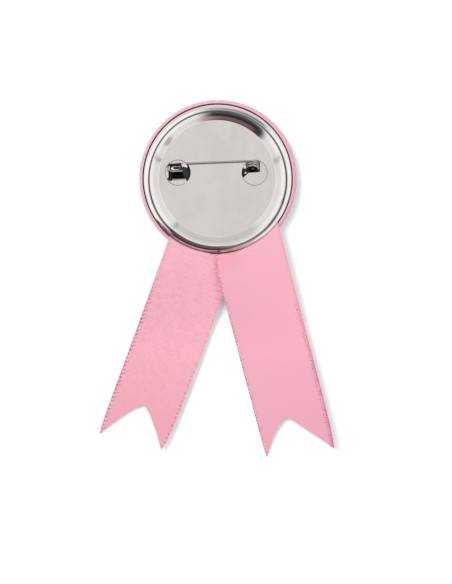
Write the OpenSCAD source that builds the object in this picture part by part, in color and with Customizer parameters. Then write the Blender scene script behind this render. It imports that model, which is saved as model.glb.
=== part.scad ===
// A round button badge lying face down, seen from its pinned back, with two satin ribbon tails.
// X points right and Y points up the badge, away from the tails. Z points up, out of the back.
// The floor is Z = 0, and the domed front touches it at the origin. Sizes are in millimetres.

/* [Shell] */
// Diameter over the rolled edge
badge_d = 58; // [57.5:0.1:58.5]
// Radius of the domed front
dome_r = 190; // [180:5:220]
// Thickness of the covered shell
shell_t = 0.5; // [0.4:0.05:0.55]
// Radius of the rolled edge
edge_r = 1.6; // [1.5:0.05:1.7]
// Diameter of the opening that the rolled edge leaves for the back plate
seam_d = 55.6; // [55.5:0.05:55.8]

/* [Back plate] */
// Thickness of the tinplate
plate_t = 0.35; // [0.3:0.05:0.4]
// How far the back plate sits left of the badge's centre
plate_left = 0.35; // [0:0.05:0.4]
// Diameter over the flange
flange_d = 54.7; // [54.5:0.05:54.8]
// Height of the flange's outer edge above the floor
flange_z = 5.1; // [5:0.05:5.15]
// How far the flange dips towards the ridge
flange_dip = 0.25; // [0.2:0.05:0.3]
// Diameter over the raised ridge
ridge_d = 50.7; // [50:0.1:51]
// Height of the ridge above the floor
ridge_z = 5.9; // [5.6:0.1:6.2]
// Width of the ridge's crest
ridge_w = 1.25; // [1:0.05:1.5]
// Diameter of the flat recess inside the ridge
recess_d = 43.4; // [42.5:0.1:44]
// Height of the recess above the floor
recess_z = 4.7; // [4.65:0.05:4.75]

/* [Windows] */
// Diameter of each round window
window_d = 9.44; // [9.4:0.02:9.5]
// Height of both windows above the badge's centre
window_y = 2.15; // [2:0.05:2.3]
// Place of the catch's window
catch_window_x = -14.8; // [-15:0.1:-14.6]
// Place of the hinge's window
hinge_window_x = 13.4; // [13.3:0.1:13.5]
// Gap between a window and its disc
disc_gap = 0.12; // [0.1:0.01:0.15]

/* [Pin] */
// Diameter of the wire
wire_d = 0.8; // [0.7:0.05:0.8]
// Place of the coil along the badge
coil_x = 12.65; // [12.6:0.05:12.7]
// Height of the stem above the badge's centre, at the coil
stem_y = 6.45; // [6.4:0.05:6.5]
// Height of the stem above the floor
stem_z = 6.1; // [6:0.05:6.2]
// How far the stem slants down towards the catch, in degrees
stem_slant = 2.4; // [2.2:0.1:2.6]
// Length from the coil's axis to the point
stem_len = 30.3; // [29.8:0.1:30.4]
// Radius of the coil, to the middle of the wire
coil_r = 2; // [1.95:0.05:2.05]
// Tilt of the coil's axis, in degrees
coil_tilt = 25; // [24:0.5:26]
// Distance between one turn and the next
coil_pitch = 0.95; // [0.9:0.01:0.96]

/* [Ribbons] */
// Thickness of a tail along its length
tail_t = 1; // [1:0.1:1.2]
// Thickness of a tail where the rim clamps it
clamp_t = 0.22; // [0.2:0.01:0.24]
// Distance down the badge at which a tail lies flat on the floor
tail_down = 78; // [76:1:84]

/* [Hidden] */
$fn = 96;

// Heights and radii of the shell
edge_ring = badge_d / 2 - edge_r;
edge_z = dome_r - sqrt(pow(dome_r - edge_r, 2) - pow(edge_ring, 2));
edge_top = edge_z + edge_r;
edge_start = asin(edge_ring / (dome_r - edge_r)) - 90;
edge_end = 100;
seam_floor = edge_z + 0.7;

// Radius of the ridge's crown, where the slope out of the recess turns level
crown_r = 3;

// Width of the recess's edge, where it starts to bend up
recess_edge = 1.5;

// Heights of the sheets that make the pin's base
base_gap = 0.1;
base_t = 0.35;
base_top = recess_z - plate_t - base_gap;
base_floor = base_top - base_t;
disc_top = recess_z - 0.08;
disc_r = window_d / 2 - disc_gap;
disc_mid = disc_top - base_t / 2;
pad_r = 6;
band_w = 8;

// The cut-out of each disc
catch_cut_left = -18.7;
catch_cut_low = -0.75;
catch_cut_high = 5.3;
hinge_cut_right = 15.35;
hinge_cut_high = 6.45;
hinge_cut_low = [[hinge_cut_right, 2.45], [11.2, 2.1], [9.2, 0.35], [8, 0.2]];

// The catch: a tongue that dips from its fold and rises behind the wire into a hood over it.
// Its bends are given across the wire and up from the floor, with the radius of each
catch_from = -30.8;
catch_to = -25.9;
hood_back = [-2.9, 6.95];
hood_rise = 18;
hood_depth = 2.85;
hood_bend = 0.6;
hood_wall = 1.5;
hood_corner = 1.25;
hood_side = hood_depth - hood_corner + 0.05;
lip_drop = 0.25;
roof_way = [cos(hood_rise), sin(hood_rise)];
wall_way = [sin(hood_rise), -cos(hood_rise)];
hood_knee = hood_back + hood_wall * wall_way;
lip_knee = hood_back + hood_depth * roof_way;
dip_z = 2.7;
catch_bends = [
    [-6.9, disc_mid, 0],
    [-5.7, disc_mid, 0.6],
    [hood_knee[0], dip_z, 0.6],
    [hood_knee[0], hood_knee[1], 0.5],
    [hood_back[0], hood_back[1], hood_bend],
    [lip_knee[0], lip_knee[1], 0.25],
    [lip_knee[0] + 0.16, lip_knee[1] - lip_drop, 0],
];

// The flare at the hood's mouth, drawn from the hood's end and from its back
flare_rise = 20;
flare_outline = [[-0.4, 0.6], [-0.4, 3], [0.6, 3.4], [1.9, 1.8], [1.1, 0.6]];
flare_bow = 0.3;
lip_slope = 36;
lip_size = [1.25, 4.3, 0.35];

// The post that carries the coil
post_r = 1.3;
post_wall = 0.35;
post_past_coil = 0.65;
ear_w = 2;
ear_drop = 2.1;
coil_turns = 2.5;
coil_len = coil_turns * coil_pitch;
ear_gap = 0.2;
ear_y = -coil_len - wire_d / 2 - ear_gap;

// The coil's centre at the turn that the stem leaves
coil_centre = [coil_x, stem_y - coil_r * sin(coil_tilt), stem_z - coil_r * cos(coil_tilt)];
turn_steps = 30;
wire_sides = 12;
point_len = 2.2;
point_r = 0.07;

// The short end of the wire, from the coil's last turn, as four control points
wire_end = [
    [0, -coil_len, -coil_r],
    [-1.6, -coil_len - 0.05, -coil_r - 0.05],
    [-2.8, -3, -1.7],
    [-2.72, -3.3, -0.9],
];

// Ribbon tails: each row of a table is one tail, and a column is one size
//   angle      degrees from straight down, towards the tail's own side
//   left_top, right_top, left_low, right_low  offsets of the edges from the tail's axis
//   left_tip, right_tip, notch                reach of the points and the notch from the centre
//   notch_at   offset of the notch from the tail's axis
//   left_bow, right_bow                       power of the curve of each cut
LEFT_TAIL = [-20.2, -9.2, 16.3, -8.7, 15.05, 102.7, 101, 87.5, 2.95, 1.35, 1.55];
RIGHT_TAIL = [14.4, -9.95, 17.2, -8, 16.85, 104, 106.5, 90.95, 2.63, 1.5, 1.13];
tail_start = 18;
tail_knee = 29.6;
tail_grow = 52;
cross_end = 44;
cross_fade = 20;
cross_x = -3.3;
seat_gap = 0.08;
cross_gap = 0.14;
tuck_gap = 0.12;
tuck_floor = 4;
cut_steps = 14;
profile_steps = 40;

function unit(v) = v / norm(v);
function arc(centre, r, from, to, steps) =
    [for (i = [0:steps]) let (a = from + (to - from) * i / steps) centre + r * [cos(a), sin(a)]];

// Points of an arc of radius r that rounds the corner b between a and c
function corner(a, b, c, r, steps = 6) =
    r == 0 ? [b] :
    let (
        u = unit(a - b),
        v = unit(c - b),
        half = acos(u * v) / 2,
        centre = b + unit(u + v) * r / sin(half),
        start = b + u * r / tan(half) - centre,
        stop = b + v * r / tan(half) - centre,
        from = atan2(start[1], start[0]),
        turn = (atan2(stop[1], stop[0]) - from + 540) % 360 - 180
    )
    arc(centre, r, from, from + turn, steps);

// A path through rows of x, y and bend radius
function rounded(rows) = [
    for (i = [0:len(rows) - 1])
        let (b = [rows[i][0], rows[i][1]])
        each (i == 0 || i == len(rows) - 1) ? [b] :
            corner([rows[i - 1][0], rows[i - 1][1]], b, [rows[i + 1][0], rows[i + 1][1]], rows[i][2])
];

// The points of a closed outline, with every corner rounded
function rounded_loop(points, r) = [
    for (i = [0:len(points) - 1])
        let (before = points[(i + len(points) - 1) % len(points)], after = points[(i + 1) % len(points)])
        each corner(before, points[i], after, r)
];

// The path moved sideways by d, to its left
function beside(path, d) = [
    for (i = [0:len(path) - 1])
        let (
            after = i < len(path) - 1 ? unit(path[i + 1] - path[i]) : [0, 0],
            before = i > 0 ? unit(path[i] - path[i - 1]) : [0, 0],
            along = unit(before + after)
        )
        path[i] + d * [-along[1], along[0]]
];
function reversed(list) = [for (i = [len(list) - 1:-1:0]) list[i]];
function sheet_outline(path, t) = concat(beside(path, t / 2), reversed(beside(path, -t / 2)));

// A smooth step from 0 to 1
function ramp(t) = t <= 0 ? 0 : t >= 1 ? 1 : (1 - cos(180 * t)) / 2;
function bezier(p, t) =
    pow(1 - t, 3) * p[0] + 3 * pow(1 - t, 2) * t * p[1] + 3 * (1 - t) * pow(t, 2) * p[2] + pow(t, 3) * p[3];

// Places the children in the frame of the wire: X along the stem, away from the point
module along_wire() {
    translate([coil_x, stem_y, 0]) rotate([0, 0, stem_slant]) children();
}

// Places the children in the frame of the coil: Y along its axis, Z up to the stem
module at_coil() {
    translate(coil_centre) rotate([0, 0, stem_slant]) rotate([-coil_tilt, 0, 0]) children();
}

// Extrudes a side view, drawn as Y and Z, from one X to another
module side_view(from, to) {
    translate([from, 0, 0]) rotate([90, 0, 90]) linear_extrude(to - from) children();
}

module shell() {
    color("#e3afc0")
    difference() {
        rotate_extrude()
            polygon(concat(
                arc([0, dome_r], dome_r, -90, edge_start, 20),
                arc([edge_ring, edge_z], edge_r, edge_start, edge_end, 24),
                arc([edge_ring, edge_z], edge_r - shell_t, edge_end, edge_start, 24),
                arc([0, dome_r], dome_r - shell_t, edge_start, -90, 20)
            ));
        translate([-plate_left, 0, seam_floor]) cylinder(d = seam_d, h = edge_r);
    }
}

module back_plate() {
    half = plate_t / 2;
    skirt_floor = edge_z - edge_r + shell_t + 0.3;
    section = rounded([
        [0, recess_z - half, 0],
        [recess_d / 2 - recess_edge, recess_z - half, 0],
        [recess_d / 2, recess_z - half, 1.1],
        [ridge_d / 2 - ridge_w, ridge_z - half, crown_r],
        [ridge_d / 2 - half, ridge_z - half, 0.3],
        [ridge_d / 2 - half, flange_z - flange_dip - half, 0.25],
        [flange_d / 2 - half, flange_z - half, 0.45],
        [flange_d / 2 - half, skirt_floor, 0],
    ]);
    color("#d4d0cd")
    difference() {
        translate([-plate_left, 0, 0]) rotate_extrude() polygon(sheet_outline(section, plate_t));
        for (x = [catch_window_x, hinge_window_x])
            translate([x, window_y, base_floor]) cylinder(d = window_d, h = 2);
    }
}

// One disc in its window, with a skirt down to the strip
module disc(x) {
    disc_h = disc_top - base_floor;
    translate([x, window_y, base_floor]) difference() {
        cylinder(r = disc_r, h = disc_h);
        translate([0, 0, -1]) cylinder(r = disc_r - base_t, h = disc_h - base_t + 1);
    }
}

// The flat strip behind the back plate, open under both discs
module strip() {
    translate([0, 0, base_floor]) linear_extrude(base_t) difference() {
        union() {
            for (x = [catch_window_x, hinge_window_x]) translate([x, window_y]) circle(pad_r);
            translate([catch_window_x, window_y - band_w / 2])
                square([hinge_window_x - catch_window_x, band_w]);
        }
        for (x = [catch_window_x, hinge_window_x]) translate([x, window_y]) circle(disc_r - base_t / 2);
    }
}

module cut_outs() {
    translate([0, 0, base_floor - 1]) linear_extrude(3) {
        translate([catch_cut_left, catch_cut_low])
            square([catch_window_x + pad_r - catch_cut_left, catch_cut_high - catch_cut_low]);
        polygon(concat([[8, hinge_cut_high], [hinge_cut_right, hinge_cut_high]], hinge_cut_low));
    }
}

// The tongue of the catch, with its hood closed round the left end and flared at the right
module catch_hook() {
    rim_bends = [[0, 0, 0], [hood_corner, 0, hood_bend], [hood_corner, -hood_wall, 0]];
    rim = sheet_outline(rounded(rim_bends), base_t);
    along_wire() {
        side_view(catch_from + hood_corner, catch_to) polygon(sheet_outline(rounded(catch_bends), base_t));
        translate([catch_from + hood_corner, hood_back[0], hood_back[1]]) rotate([hood_rise, 0, 0]) {
            translate([0, hood_corner, 0]) {
                rotate([0, 0, 180]) rotate_extrude(angle = 90) polygon(rim);
                rotate([90, 0, 180]) linear_extrude(hood_side) polygon(rim);
            }
            translate([catch_to - catch_from - hood_corner, 0, 0]) rotate([0, -flare_rise, 0])
                linear_extrude(base_t, center = true) polygon(rounded_loop(flare_outline, flare_bow));
        }
    }
}

// The edge of the catch's cut-out, bent down on the left
module left_lip() {
    translate([catch_cut_left - lip_size[2] / 2, window_y - lip_size[1] / 2, disc_top - lip_size[2]])
        rotate([0, lip_slope, 0]) cube(lip_size);
}

// The hollow post through the coil, and the ear that joins it to its disc
module hinge_post() {
    at_coil() {
        difference() {
            rotate([90, 0, 0]) translate([0, 0, -post_past_coil])
                cylinder(r = post_r, h = post_past_coil - ear_y + base_t);
            rotate([90, 0, 0]) translate([0, 0, -post_past_coil - 1])
                cylinder(r = post_r - post_wall, h = post_past_coil - ear_y + base_t + 2);
        }
        translate([0, ear_y, 0]) rotate([90, 0, 0]) linear_extrude(base_t) difference() {
            translate([-ear_w / 2, -ear_drop]) square([ear_w, ear_drop]);
            circle(post_r - post_wall);
        }
    }
}

module pin_base() {
    color("#c9c5c2") {
        difference() {
            union() {
                strip();
                disc(catch_window_x);
                disc(hinge_window_x);
            }
            cut_outs();
        }
        catch_hook();
        left_lip();
        hinge_post();
    }
}

// The wire as rings along its path, in the frame of the coil
module pin() {
    stem = [
        [[-stem_len, 0, coil_r], point_r],
        [[-stem_len + point_len / 2, 0, coil_r], wire_d * 0.3],
        [[-stem_len + point_len, 0, coil_r], wire_d / 2],
    ];
    turns = [
        for (i = [0:coil_turns * turn_steps])
            let (a = 360 * i / turn_steps)
            [[coil_r * sin(a), -coil_pitch * a / 360, coil_r * cos(a)], wire_d / 2]
    ];
    short_end = [for (i = [1:7]) [bezier(wire_end, i / 7), wire_d / 2]];
    rings = concat(stem, turns, short_end);
    last = len(rings) - 1;
    ring_points = [
        for (i = [0:last])
            let (
                along = unit(rings[min(i + 1, last)][0] - rings[max(i - 1, 0)][0]),
                side = unit(cross([0, 1, 0], along)),
                up = cross(along, side)
            )
            for (k = [0:wire_sides - 1])
                let (a = 360 * k / wire_sides)
                rings[i][0] + rings[i][1] * (cos(a) * side + sin(a) * up)
    ];
    walls = [
        for (i = [0:last - 1], k = [0:wire_sides - 1])
            let (a = i * wire_sides + k, b = i * wire_sides + (k + 1) % wire_sides)
            [a, a + wire_sides, b + wire_sides, b]
    ];
    ends = [
        [for (k = [0:wire_sides - 1]) k],
        [for (k = [wire_sides - 1:-1:0]) last * wire_sides + k],
    ];
    color("#9a9794") at_coil() polyhedron(ring_points, concat(walls, ends), convexity = 8);
}

// Plan of one tail, with its swallowtail end
module tail_plan(t) {
    function point(reach, offset) = [
        reach * sin(t[0]) + offset * cos(t[0]),
        -reach * cos(t[0]) + offset * sin(t[0])
    ];
    function cut(from, reach, power) = [
        for (i = [1:cut_steps])
            let (u = i / cut_steps)
            point(t[7] + (reach - t[7]) * pow(u, power), t[8] + (from - t[8]) * u)
    ];
    polygon(concat(
        [point(tail_start, t[1])],
        reversed(cut(t[3], t[5], t[9])),
        [point(t[7], t[8])],
        cut(t[4], t[6], t[10]),
        [point(tail_start, t[2])]
    ));
}

function tail_thickness(down) =
    clamp_t + (tail_t - clamp_t) * ramp((down - tail_knee) / (tail_grow - tail_knee));
function tail_under(down, crossing) =
    (edge_top + seat_gap) * (1 - ramp((down - tail_knee) / (tail_down - tail_knee)))
    + crossing * (tail_thickness(down) + cross_gap) * (1 - ramp((down - cross_end) / cross_fade));

// Side view of a tail, drawn as Y and Z
module tail_profile(crossing) {
    reach = 112;
    downs = concat([tail_start], [for (i = [0:profile_steps]) 26 + (reach - 26) * i / profile_steps]);
    polygon(concat(
        [for (d = downs) [-d, tail_under(d, crossing)]],
        reversed([for (d = downs) [-d, tail_under(d, crossing) + tail_thickness(d)]])
    ));
}

// A tail: a sheet over the rolled edge, and its edge tucked down into the seam.
// Past tuck_to it stops short of the seam, where the other tail's edge is tucked
module tail(t, crossing, tuck_from, tuck_to) {
    tuck_r = flange_d / 2 + tuck_gap;
    over = tail_under(tail_start, crossing) + clamp_t;
    intersection() {
        linear_extrude(20, center = true) tail_plan(t);
        union() {
            difference() {
                side_view(-60, 60) tail_profile(crossing);
                translate([-plate_left, 0, -1]) cylinder(r = tuck_r + clamp_t / 3, h = 20);
                intersection() {
                    translate([-plate_left, 0, -1]) cylinder(r = tuck_r + clamp_t + seat_gap, h = 20);
                    translate([tuck_to, -60, -1]) cube([60, 60, 20]);
                }
            }
            intersection() {
                translate([-plate_left, 0, tuck_floor]) difference() {
                    cylinder(r = tuck_r + clamp_t, h = over - clamp_t / 3 - tuck_floor);
                    translate([0, 0, -1]) cylinder(r = tuck_r, h = 20);
                }
                translate([tuck_from, -60, 0]) cube([tuck_to - tuck_from, 60, 20]);
            }
        }
    }
}

module ribbon_left() {
    color("#f4b3c1") tail(LEFT_TAIL, 0, -60, cross_x);
}

module ribbon_right() {
    color("#f6b8c5") tail(RIGHT_TAIL, 1, -60, 60);
}

shell();
back_plate();
pin_base();
pin();
ribbon_left();
ribbon_right();
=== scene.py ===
import math

import bmesh
import bpy
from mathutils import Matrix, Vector


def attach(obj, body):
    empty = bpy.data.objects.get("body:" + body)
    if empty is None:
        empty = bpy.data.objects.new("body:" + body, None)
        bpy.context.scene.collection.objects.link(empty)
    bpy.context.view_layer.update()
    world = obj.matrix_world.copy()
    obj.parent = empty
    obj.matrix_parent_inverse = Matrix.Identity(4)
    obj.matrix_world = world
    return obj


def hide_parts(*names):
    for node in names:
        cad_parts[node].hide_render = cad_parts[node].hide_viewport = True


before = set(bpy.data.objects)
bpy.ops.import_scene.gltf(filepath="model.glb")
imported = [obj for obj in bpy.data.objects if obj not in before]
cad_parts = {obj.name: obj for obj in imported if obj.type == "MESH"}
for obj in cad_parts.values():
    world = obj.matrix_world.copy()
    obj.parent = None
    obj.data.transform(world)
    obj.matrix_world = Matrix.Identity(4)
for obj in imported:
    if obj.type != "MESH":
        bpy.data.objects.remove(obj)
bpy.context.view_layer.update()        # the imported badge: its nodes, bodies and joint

# A ribbon pin lying face down. In the dictionaries sizes are millimetres and angles are degrees, unless a
# note says otherwise.
# X points right, Y up the badge and Z out of its pinned back. The floor is Z = 0.
mm = 0.001
print("frame loaded:", ", ".join(sorted(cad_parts)))


# Small helpers for trees of nodes

def addNode(tree, kind, inputs=(), **settings):
    node = tree.nodes.new(kind)
    for key, value in settings.items():
        setattr(node, key, value)
    for key, value in dict(inputs).items():
        if isinstance(value, bpy.types.NodeSocket):
            tree.links.new(value, node.inputs[key])
        else:
            node.inputs[key].default_value = value
    return node


def maths(tree, operation, *values, clamp=False):
    node = addNode(tree, "ShaderNodeMath", enumerate(values), operation=operation, use_clamp=clamp)
    return node.outputs[0]


def times(tree, first, *others):
    for value in others:
        first = maths(tree, "MULTIPLY", first, value)
    return first


def vectorMaths(tree, operation, *values):
    return addNode(tree, "ShaderNodeVectorMath", enumerate(values), operation=operation).outputs[0]


def splitPlace(tree, place):
    return addNode(tree, "ShaderNodeSeparateXYZ", {0: place}).outputs


def joinPlace(tree, x, y, z=0.0):
    return addNode(tree, "ShaderNodeCombineXYZ", {0: x, 1: y, 2: z}).outputs[0]


def toMillimetres(tree, place):
    return addNode(tree, "ShaderNodeVectorMath", {0: place, "Scale": 1 / mm}, operation="SCALE").outputs[0]


# Rises to 1 and falls back to 0 between one whole number and the next
def wave(tree, value):
    return maths(tree, "ABSOLUTE", maths(tree, "SINE", times(tree, value, math.pi)))


def smoothStep(tree, value, start, stop, low=0.0, high=1.0):
    inputs = {"Value": value, "From Min": start, "From Max": stop, "To Min": low, "To Max": high}
    return addNode(tree, "ShaderNodeMapRange", inputs, interpolation_type="SMOOTHSTEP").outputs[0]


def colourRamp(tree, factor, stops):
    node = addNode(tree, "ShaderNodeValToRGB", {"Fac": factor})
    ramp = node.color_ramp
    while len(ramp.elements) < len(stops):
        ramp.elements.new(1.0)
    for element, (place, colour) in zip(ramp.elements, stops):
        element.position = place
        element.color = (*colour, 1.0)
    return node.outputs[0]


def mixColour(tree, factor, first, second):
    first, second = (c if isinstance(c, bpy.types.NodeSocket) else (*c, 1.0) for c in (first, second))
    return addNode(tree, "ShaderNodeMix", {0: factor, 6: first, 7: second}, data_type="RGBA").outputs[2]


def startGroup(name, kind, inputs, outputs):
    tree = bpy.data.node_groups.new(name, kind)
    for label, socketKind, value in inputs:
        socket = tree.interface.new_socket(label, in_out="INPUT", socket_type="NodeSocket" + socketKind)
        if value is not None:
            socket.default_value = value
    for label, socketKind in outputs:
        tree.interface.new_socket(label, in_out="OUTPUT", socket_type="NodeSocket" + socketKind)
    return tree, tree.nodes.new("NodeGroupInput").outputs, tree.nodes.new("NodeGroupOutput").inputs


# A tree that makes a mesh ends in plain geometry with its material
def endTree(tree, geometry, material, result):
    smooth = addNode(tree, "GeometryNodeSetShadeSmooth", {"Geometry": geometry})
    real = addNode(tree, "GeometryNodeRealizeInstances", {"Geometry": smooth.outputs[0]})
    painted = addNode(tree, "GeometryNodeSetMaterial", {"Geometry": real.outputs[0], "Material": material})
    tree.links.new(painted.outputs[0], result["Geometry"])
    return tree


# Small helpers for outlines: an outline is a list of (across, up) pairs in millimetres

def arcPoints(centre, radius, start, stop, steps):
    turns = [math.radians(start + (stop - start) * i / steps) for i in range(steps + 1)]
    return [(centre[0] + radius * math.cos(a), centre[1] + radius * math.sin(a)) for a in turns]


def ringPoints(centre, radius, count):
    turns = [math.tau * i / count for i in range(count)]
    return [(centre[0] + radius * math.cos(a), centre[1] + radius * math.sin(a)) for a in turns]


def roundCorner(before, corner, after, radius, steps):
    if radius == 0:
        return [corner]
    b = Vector(corner)
    u = (Vector(before) - b).normalized()
    v = (Vector(after) - b).normalized()
    half = u.angle(v) / 2
    centre = b + (u + v).normalized() * radius / math.sin(half)
    first = b + u * radius / math.tan(half) - centre
    last = b + v * radius / math.tan(half) - centre
    start = math.degrees(math.atan2(first.y, first.x))
    turn = (math.degrees(math.atan2(last.y, last.x)) - start + 540) % 360 - 180
    return arcPoints(centre, radius, start, start + turn, steps)


# Rows are (across, up, bend radius)
def roundedPath(rows, steps):
    path = [rows[0][:2]]
    for before, row, after in zip(rows, rows[1:], rows[2:]):
        path += roundCorner(before[:2], row[:2], after[:2], row[2], steps)
    return path + [rows[-1][:2]]


def besidePath(path, distance):
    moved = []
    for i, point in enumerate(path):
        along = Vector((0, 0))
        if i < len(path) - 1:
            along += (Vector(path[i + 1]) - Vector(point)).normalized()
        if i > 0:
            along += (Vector(point) - Vector(path[i - 1])).normalized()
        along.normalize()
        moved.append((point[0] - distance * along.y, point[1] + distance * along.x))
    return moved


def ramp(t):
    return (1 - math.cos(math.pi * min(max(t, 0.0), 1.0))) / 2


def blendValue(a, b, t):
    return a + (b - a) * t


# A value that is full near one direction round the badge, and fades out on both sides of it
def roundAbout(turn, value, middle, full, end):
    away = abs((turn - middle + 180) % 360 - 180)
    return value * ramp((end - away) / (end - full))


# Small helpers for pieces

def makePiece(name, vertices, faces=(), edges=()):
    mesh = bpy.data.meshes.new(name)
    mesh.from_pydata([tuple(c * mm for c in v) for v in vertices], edges, faces)
    obj = bpy.data.objects.new(name, mesh)
    bpy.context.scene.collection.objects.link(obj)
    return obj


# Edges from each point to the next
def lineEdges(points):
    return [(i, i + 1) for i in range(len(points) - 1)]


def gridFaces(rows, columns, first=0):
    return [(first + i * columns + k, first + i * columns + k + 1,
             first + (i + 1) * columns + k + 1, first + (i + 1) * columns + k)
            for i in range(rows - 1) for k in range(columns - 1)]


def plainMesh(obj):
    depsgraph = bpy.context.evaluated_depsgraph_get()
    mesh = bpy.data.meshes.new_from_object(obj.evaluated_get(depsgraph))
    obj.modifiers.clear()
    obj.data = mesh
    mesh.name = obj.name
    return obj


def runNodes(obj, tree, values):
    modifier = obj.modifiers.new("nodes", "NODES")
    modifier.node_group = tree
    for item in tree.interface.items_tree:
        if item.in_out == "INPUT" and item.name in values:
            modifier[item.identifier] = values[item.name]
    return plainMesh(obj)


# Gives a sheet its thickness, half of it on each side
def thicken(obj, thick, even=False):
    solid = obj.modifiers.new("thickness", "SOLIDIFY")
    solid.thickness = thick * mm
    solid.offset = 0
    solid.use_even_offset = even


def easeEdges(obj, width, degrees):
    bevel = obj.modifiers.new("bevel", "BEVEL")
    bevel.width = width * mm
    bevel.segments = 2
    bevel.limit_method = "ANGLE"
    bevel.angle_limit = math.radians(degrees)


# Points nearer than this become one
weldAt = {"usual": 0.002, "turned": 0.001, "drawnSheet": 0.01, "thickSheet": 0.0005}


def weld(obj, outwards=False, distance=weldAt["usual"]):
    mesh = bmesh.new()
    mesh.from_mesh(obj.data)
    bmesh.ops.remove_doubles(mesh, verts=mesh.verts, dist=distance * mm)
    if outwards:
        bmesh.ops.recalc_face_normals(mesh, faces=mesh.faces)
    mesh.to_mesh(obj.data)
    mesh.free()
    return obj


# Faces that fill the first ring, all but the other rings in it
def fillRings(mesh, rings, height):
    for ring in rings:
        corners = [mesh.verts.new((x * mm, y * mm, height * mm)) for x, y in ring]
        for a, b in zip(corners, corners[1:] + corners[:1]):
            mesh.edges.new((a, b))
    bmesh.ops.triangle_fill(mesh, edges=mesh.edges[:], use_beauty=True, normal=(0, 0, 1))


# The same faces again lower down, with walls between
def addDepth(mesh, thick):
    made = bmesh.ops.extrude_face_region(mesh, geom=mesh.faces[:])
    lower = [part for part in made["geom"] if isinstance(part, bmesh.types.BMVert)]
    bmesh.ops.translate(mesh, verts=lower, vec=(0, 0, -thick * mm))
    bmesh.ops.recalc_face_normals(mesh, faces=mesh.faces)


def fromBmesh(name, mesh):
    obj = makePiece(name, [])
    mesh.to_mesh(obj.data)
    mesh.free()
    return obj


# Smooth in the dictionaries is the angle up to which faces are shaded as one.
# Faces of many sides are flats, and stay flat.
def smoothUpTo(obj, degrees):
    obj.data.shade_smooth()
    obj.data.set_sharp_from_angle(angle=math.radians(degrees))
    for face in obj.data.polygons:
        if len(face.vertices) > 6:
            face.use_smooth = False
    return obj


def joinPieces(name, pieces):
    with bpy.context.temp_override(active_object=pieces[0], selected_editable_objects=pieces):
        bpy.ops.object.join()
    pieces[0].name = name
    return pieces[0]


def dress(obj, material, body, node):
    obj.data.materials.clear()
    obj.data.materials.append(material)
    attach(obj, body)
    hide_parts(node)
    return obj


# Camera: straight above, with a long lens, framed as the photograph

cameraValues = {
    "imageWide": 452, "imageHigh": 584,        # pixels
    "pixelsPerMm": 2.72,
    "badgePixel": (218.13, 178.63),            # where the badge's middle shows
    "lens": 180.0, "sensor": 36.0,
    "focusHeight": 4.0,                        # the height that is framed exactly
    "clipping": (0.05, 10),                    # shares of the distance
}


def makeCamera(v):
    data = bpy.data.cameras.new("camera")
    data.lens = v["lens"]
    data.sensor_width = v["sensor"]
    camera = bpy.data.objects.new("camera", data)
    bpy.context.scene.collection.objects.link(camera)
    bpy.context.scene.camera = camera
    longSide = max(v["imageWide"], v["imageHigh"]) / v["pixelsPerMm"]
    distance = longSide * v["lens"] / v["sensor"]
    x = (v["imageWide"] / 2 - v["badgePixel"][0]) / v["pixelsPerMm"]
    y = (v["badgePixel"][1] - v["imageHigh"] / 2) / v["pixelsPerMm"]
    camera.location = Vector((x, y, v["focusHeight"] + distance)) * mm
    data.clip_start, data.clip_end = (share * distance * mm for share in v["clipping"])


makeCamera(cameraValues)


# Surroundings: a white tent with a dim roof, dark stands, and one dark shape with a pink middle

surroundings = {
    "walls": (                                 # degrees from straight up, and the colour there
        (5, (0.77, 0.745, 0.735)), (9.5, (1.15, 1.14, 1.135)), (20, (1.12, 1.11, 1.105)),
        (26, (1.03, 1.02, 1.015)), (35, (1.03, 1.02, 1.015)), (43, (0.87, 0.855, 0.85)),
        (50, (0.87, 0.855, 0.85)), (57, (1.05, 1.04, 1.035)), (66, (1.06, 1.05, 1.045)),
        (76, (0.09, 0.085, 0.085))),
    # Tall is an angle from straight up, and around is one round the tent from the right. Each place is
    # four of them, where it starts, is full, is still full and ends. The pink turns pale over paleAround.
    "shape": (
        (22, (0.105, 0.10, 0.11)), (32, (0.035, 0.03, 0.036)), (44, (0.03, 0.025, 0.03)),
        (60, (0.09, 0.05, 0.055))),
    "shapeTall": (6, 15, 61, 65), "shapeAround": (-144, -136, -86, -68),
    "pinkDeep": (0.27, 0.14, 0.165), "pinkPale": (0.62, 0.39, 0.43), "paleAround": (-100, -76),
    "pinkTall": (43, 48, 56, 60), "pinkAround": (-133, -124, -84, -62),
    "farTall": (10, 15, 48, 62), "farAround": (46, 60, 120, 134), "farShade": 0.74,
    # Stands: where they are round the tent, their half width, their shade, and where they start and end
    "stands": (
        (-166, 3.5, 0.6, 20, 60), (-15, 3.0, 0.5, 26, 56), (-35, 7.0, 0.55, 40, 60),
        (51, 3.0, 0.6, 26, 56)),
    "standFade": 6,
    "behind": (1.0, 1.0, 1.0),                 # what the camera sees past the floor
}


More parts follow.
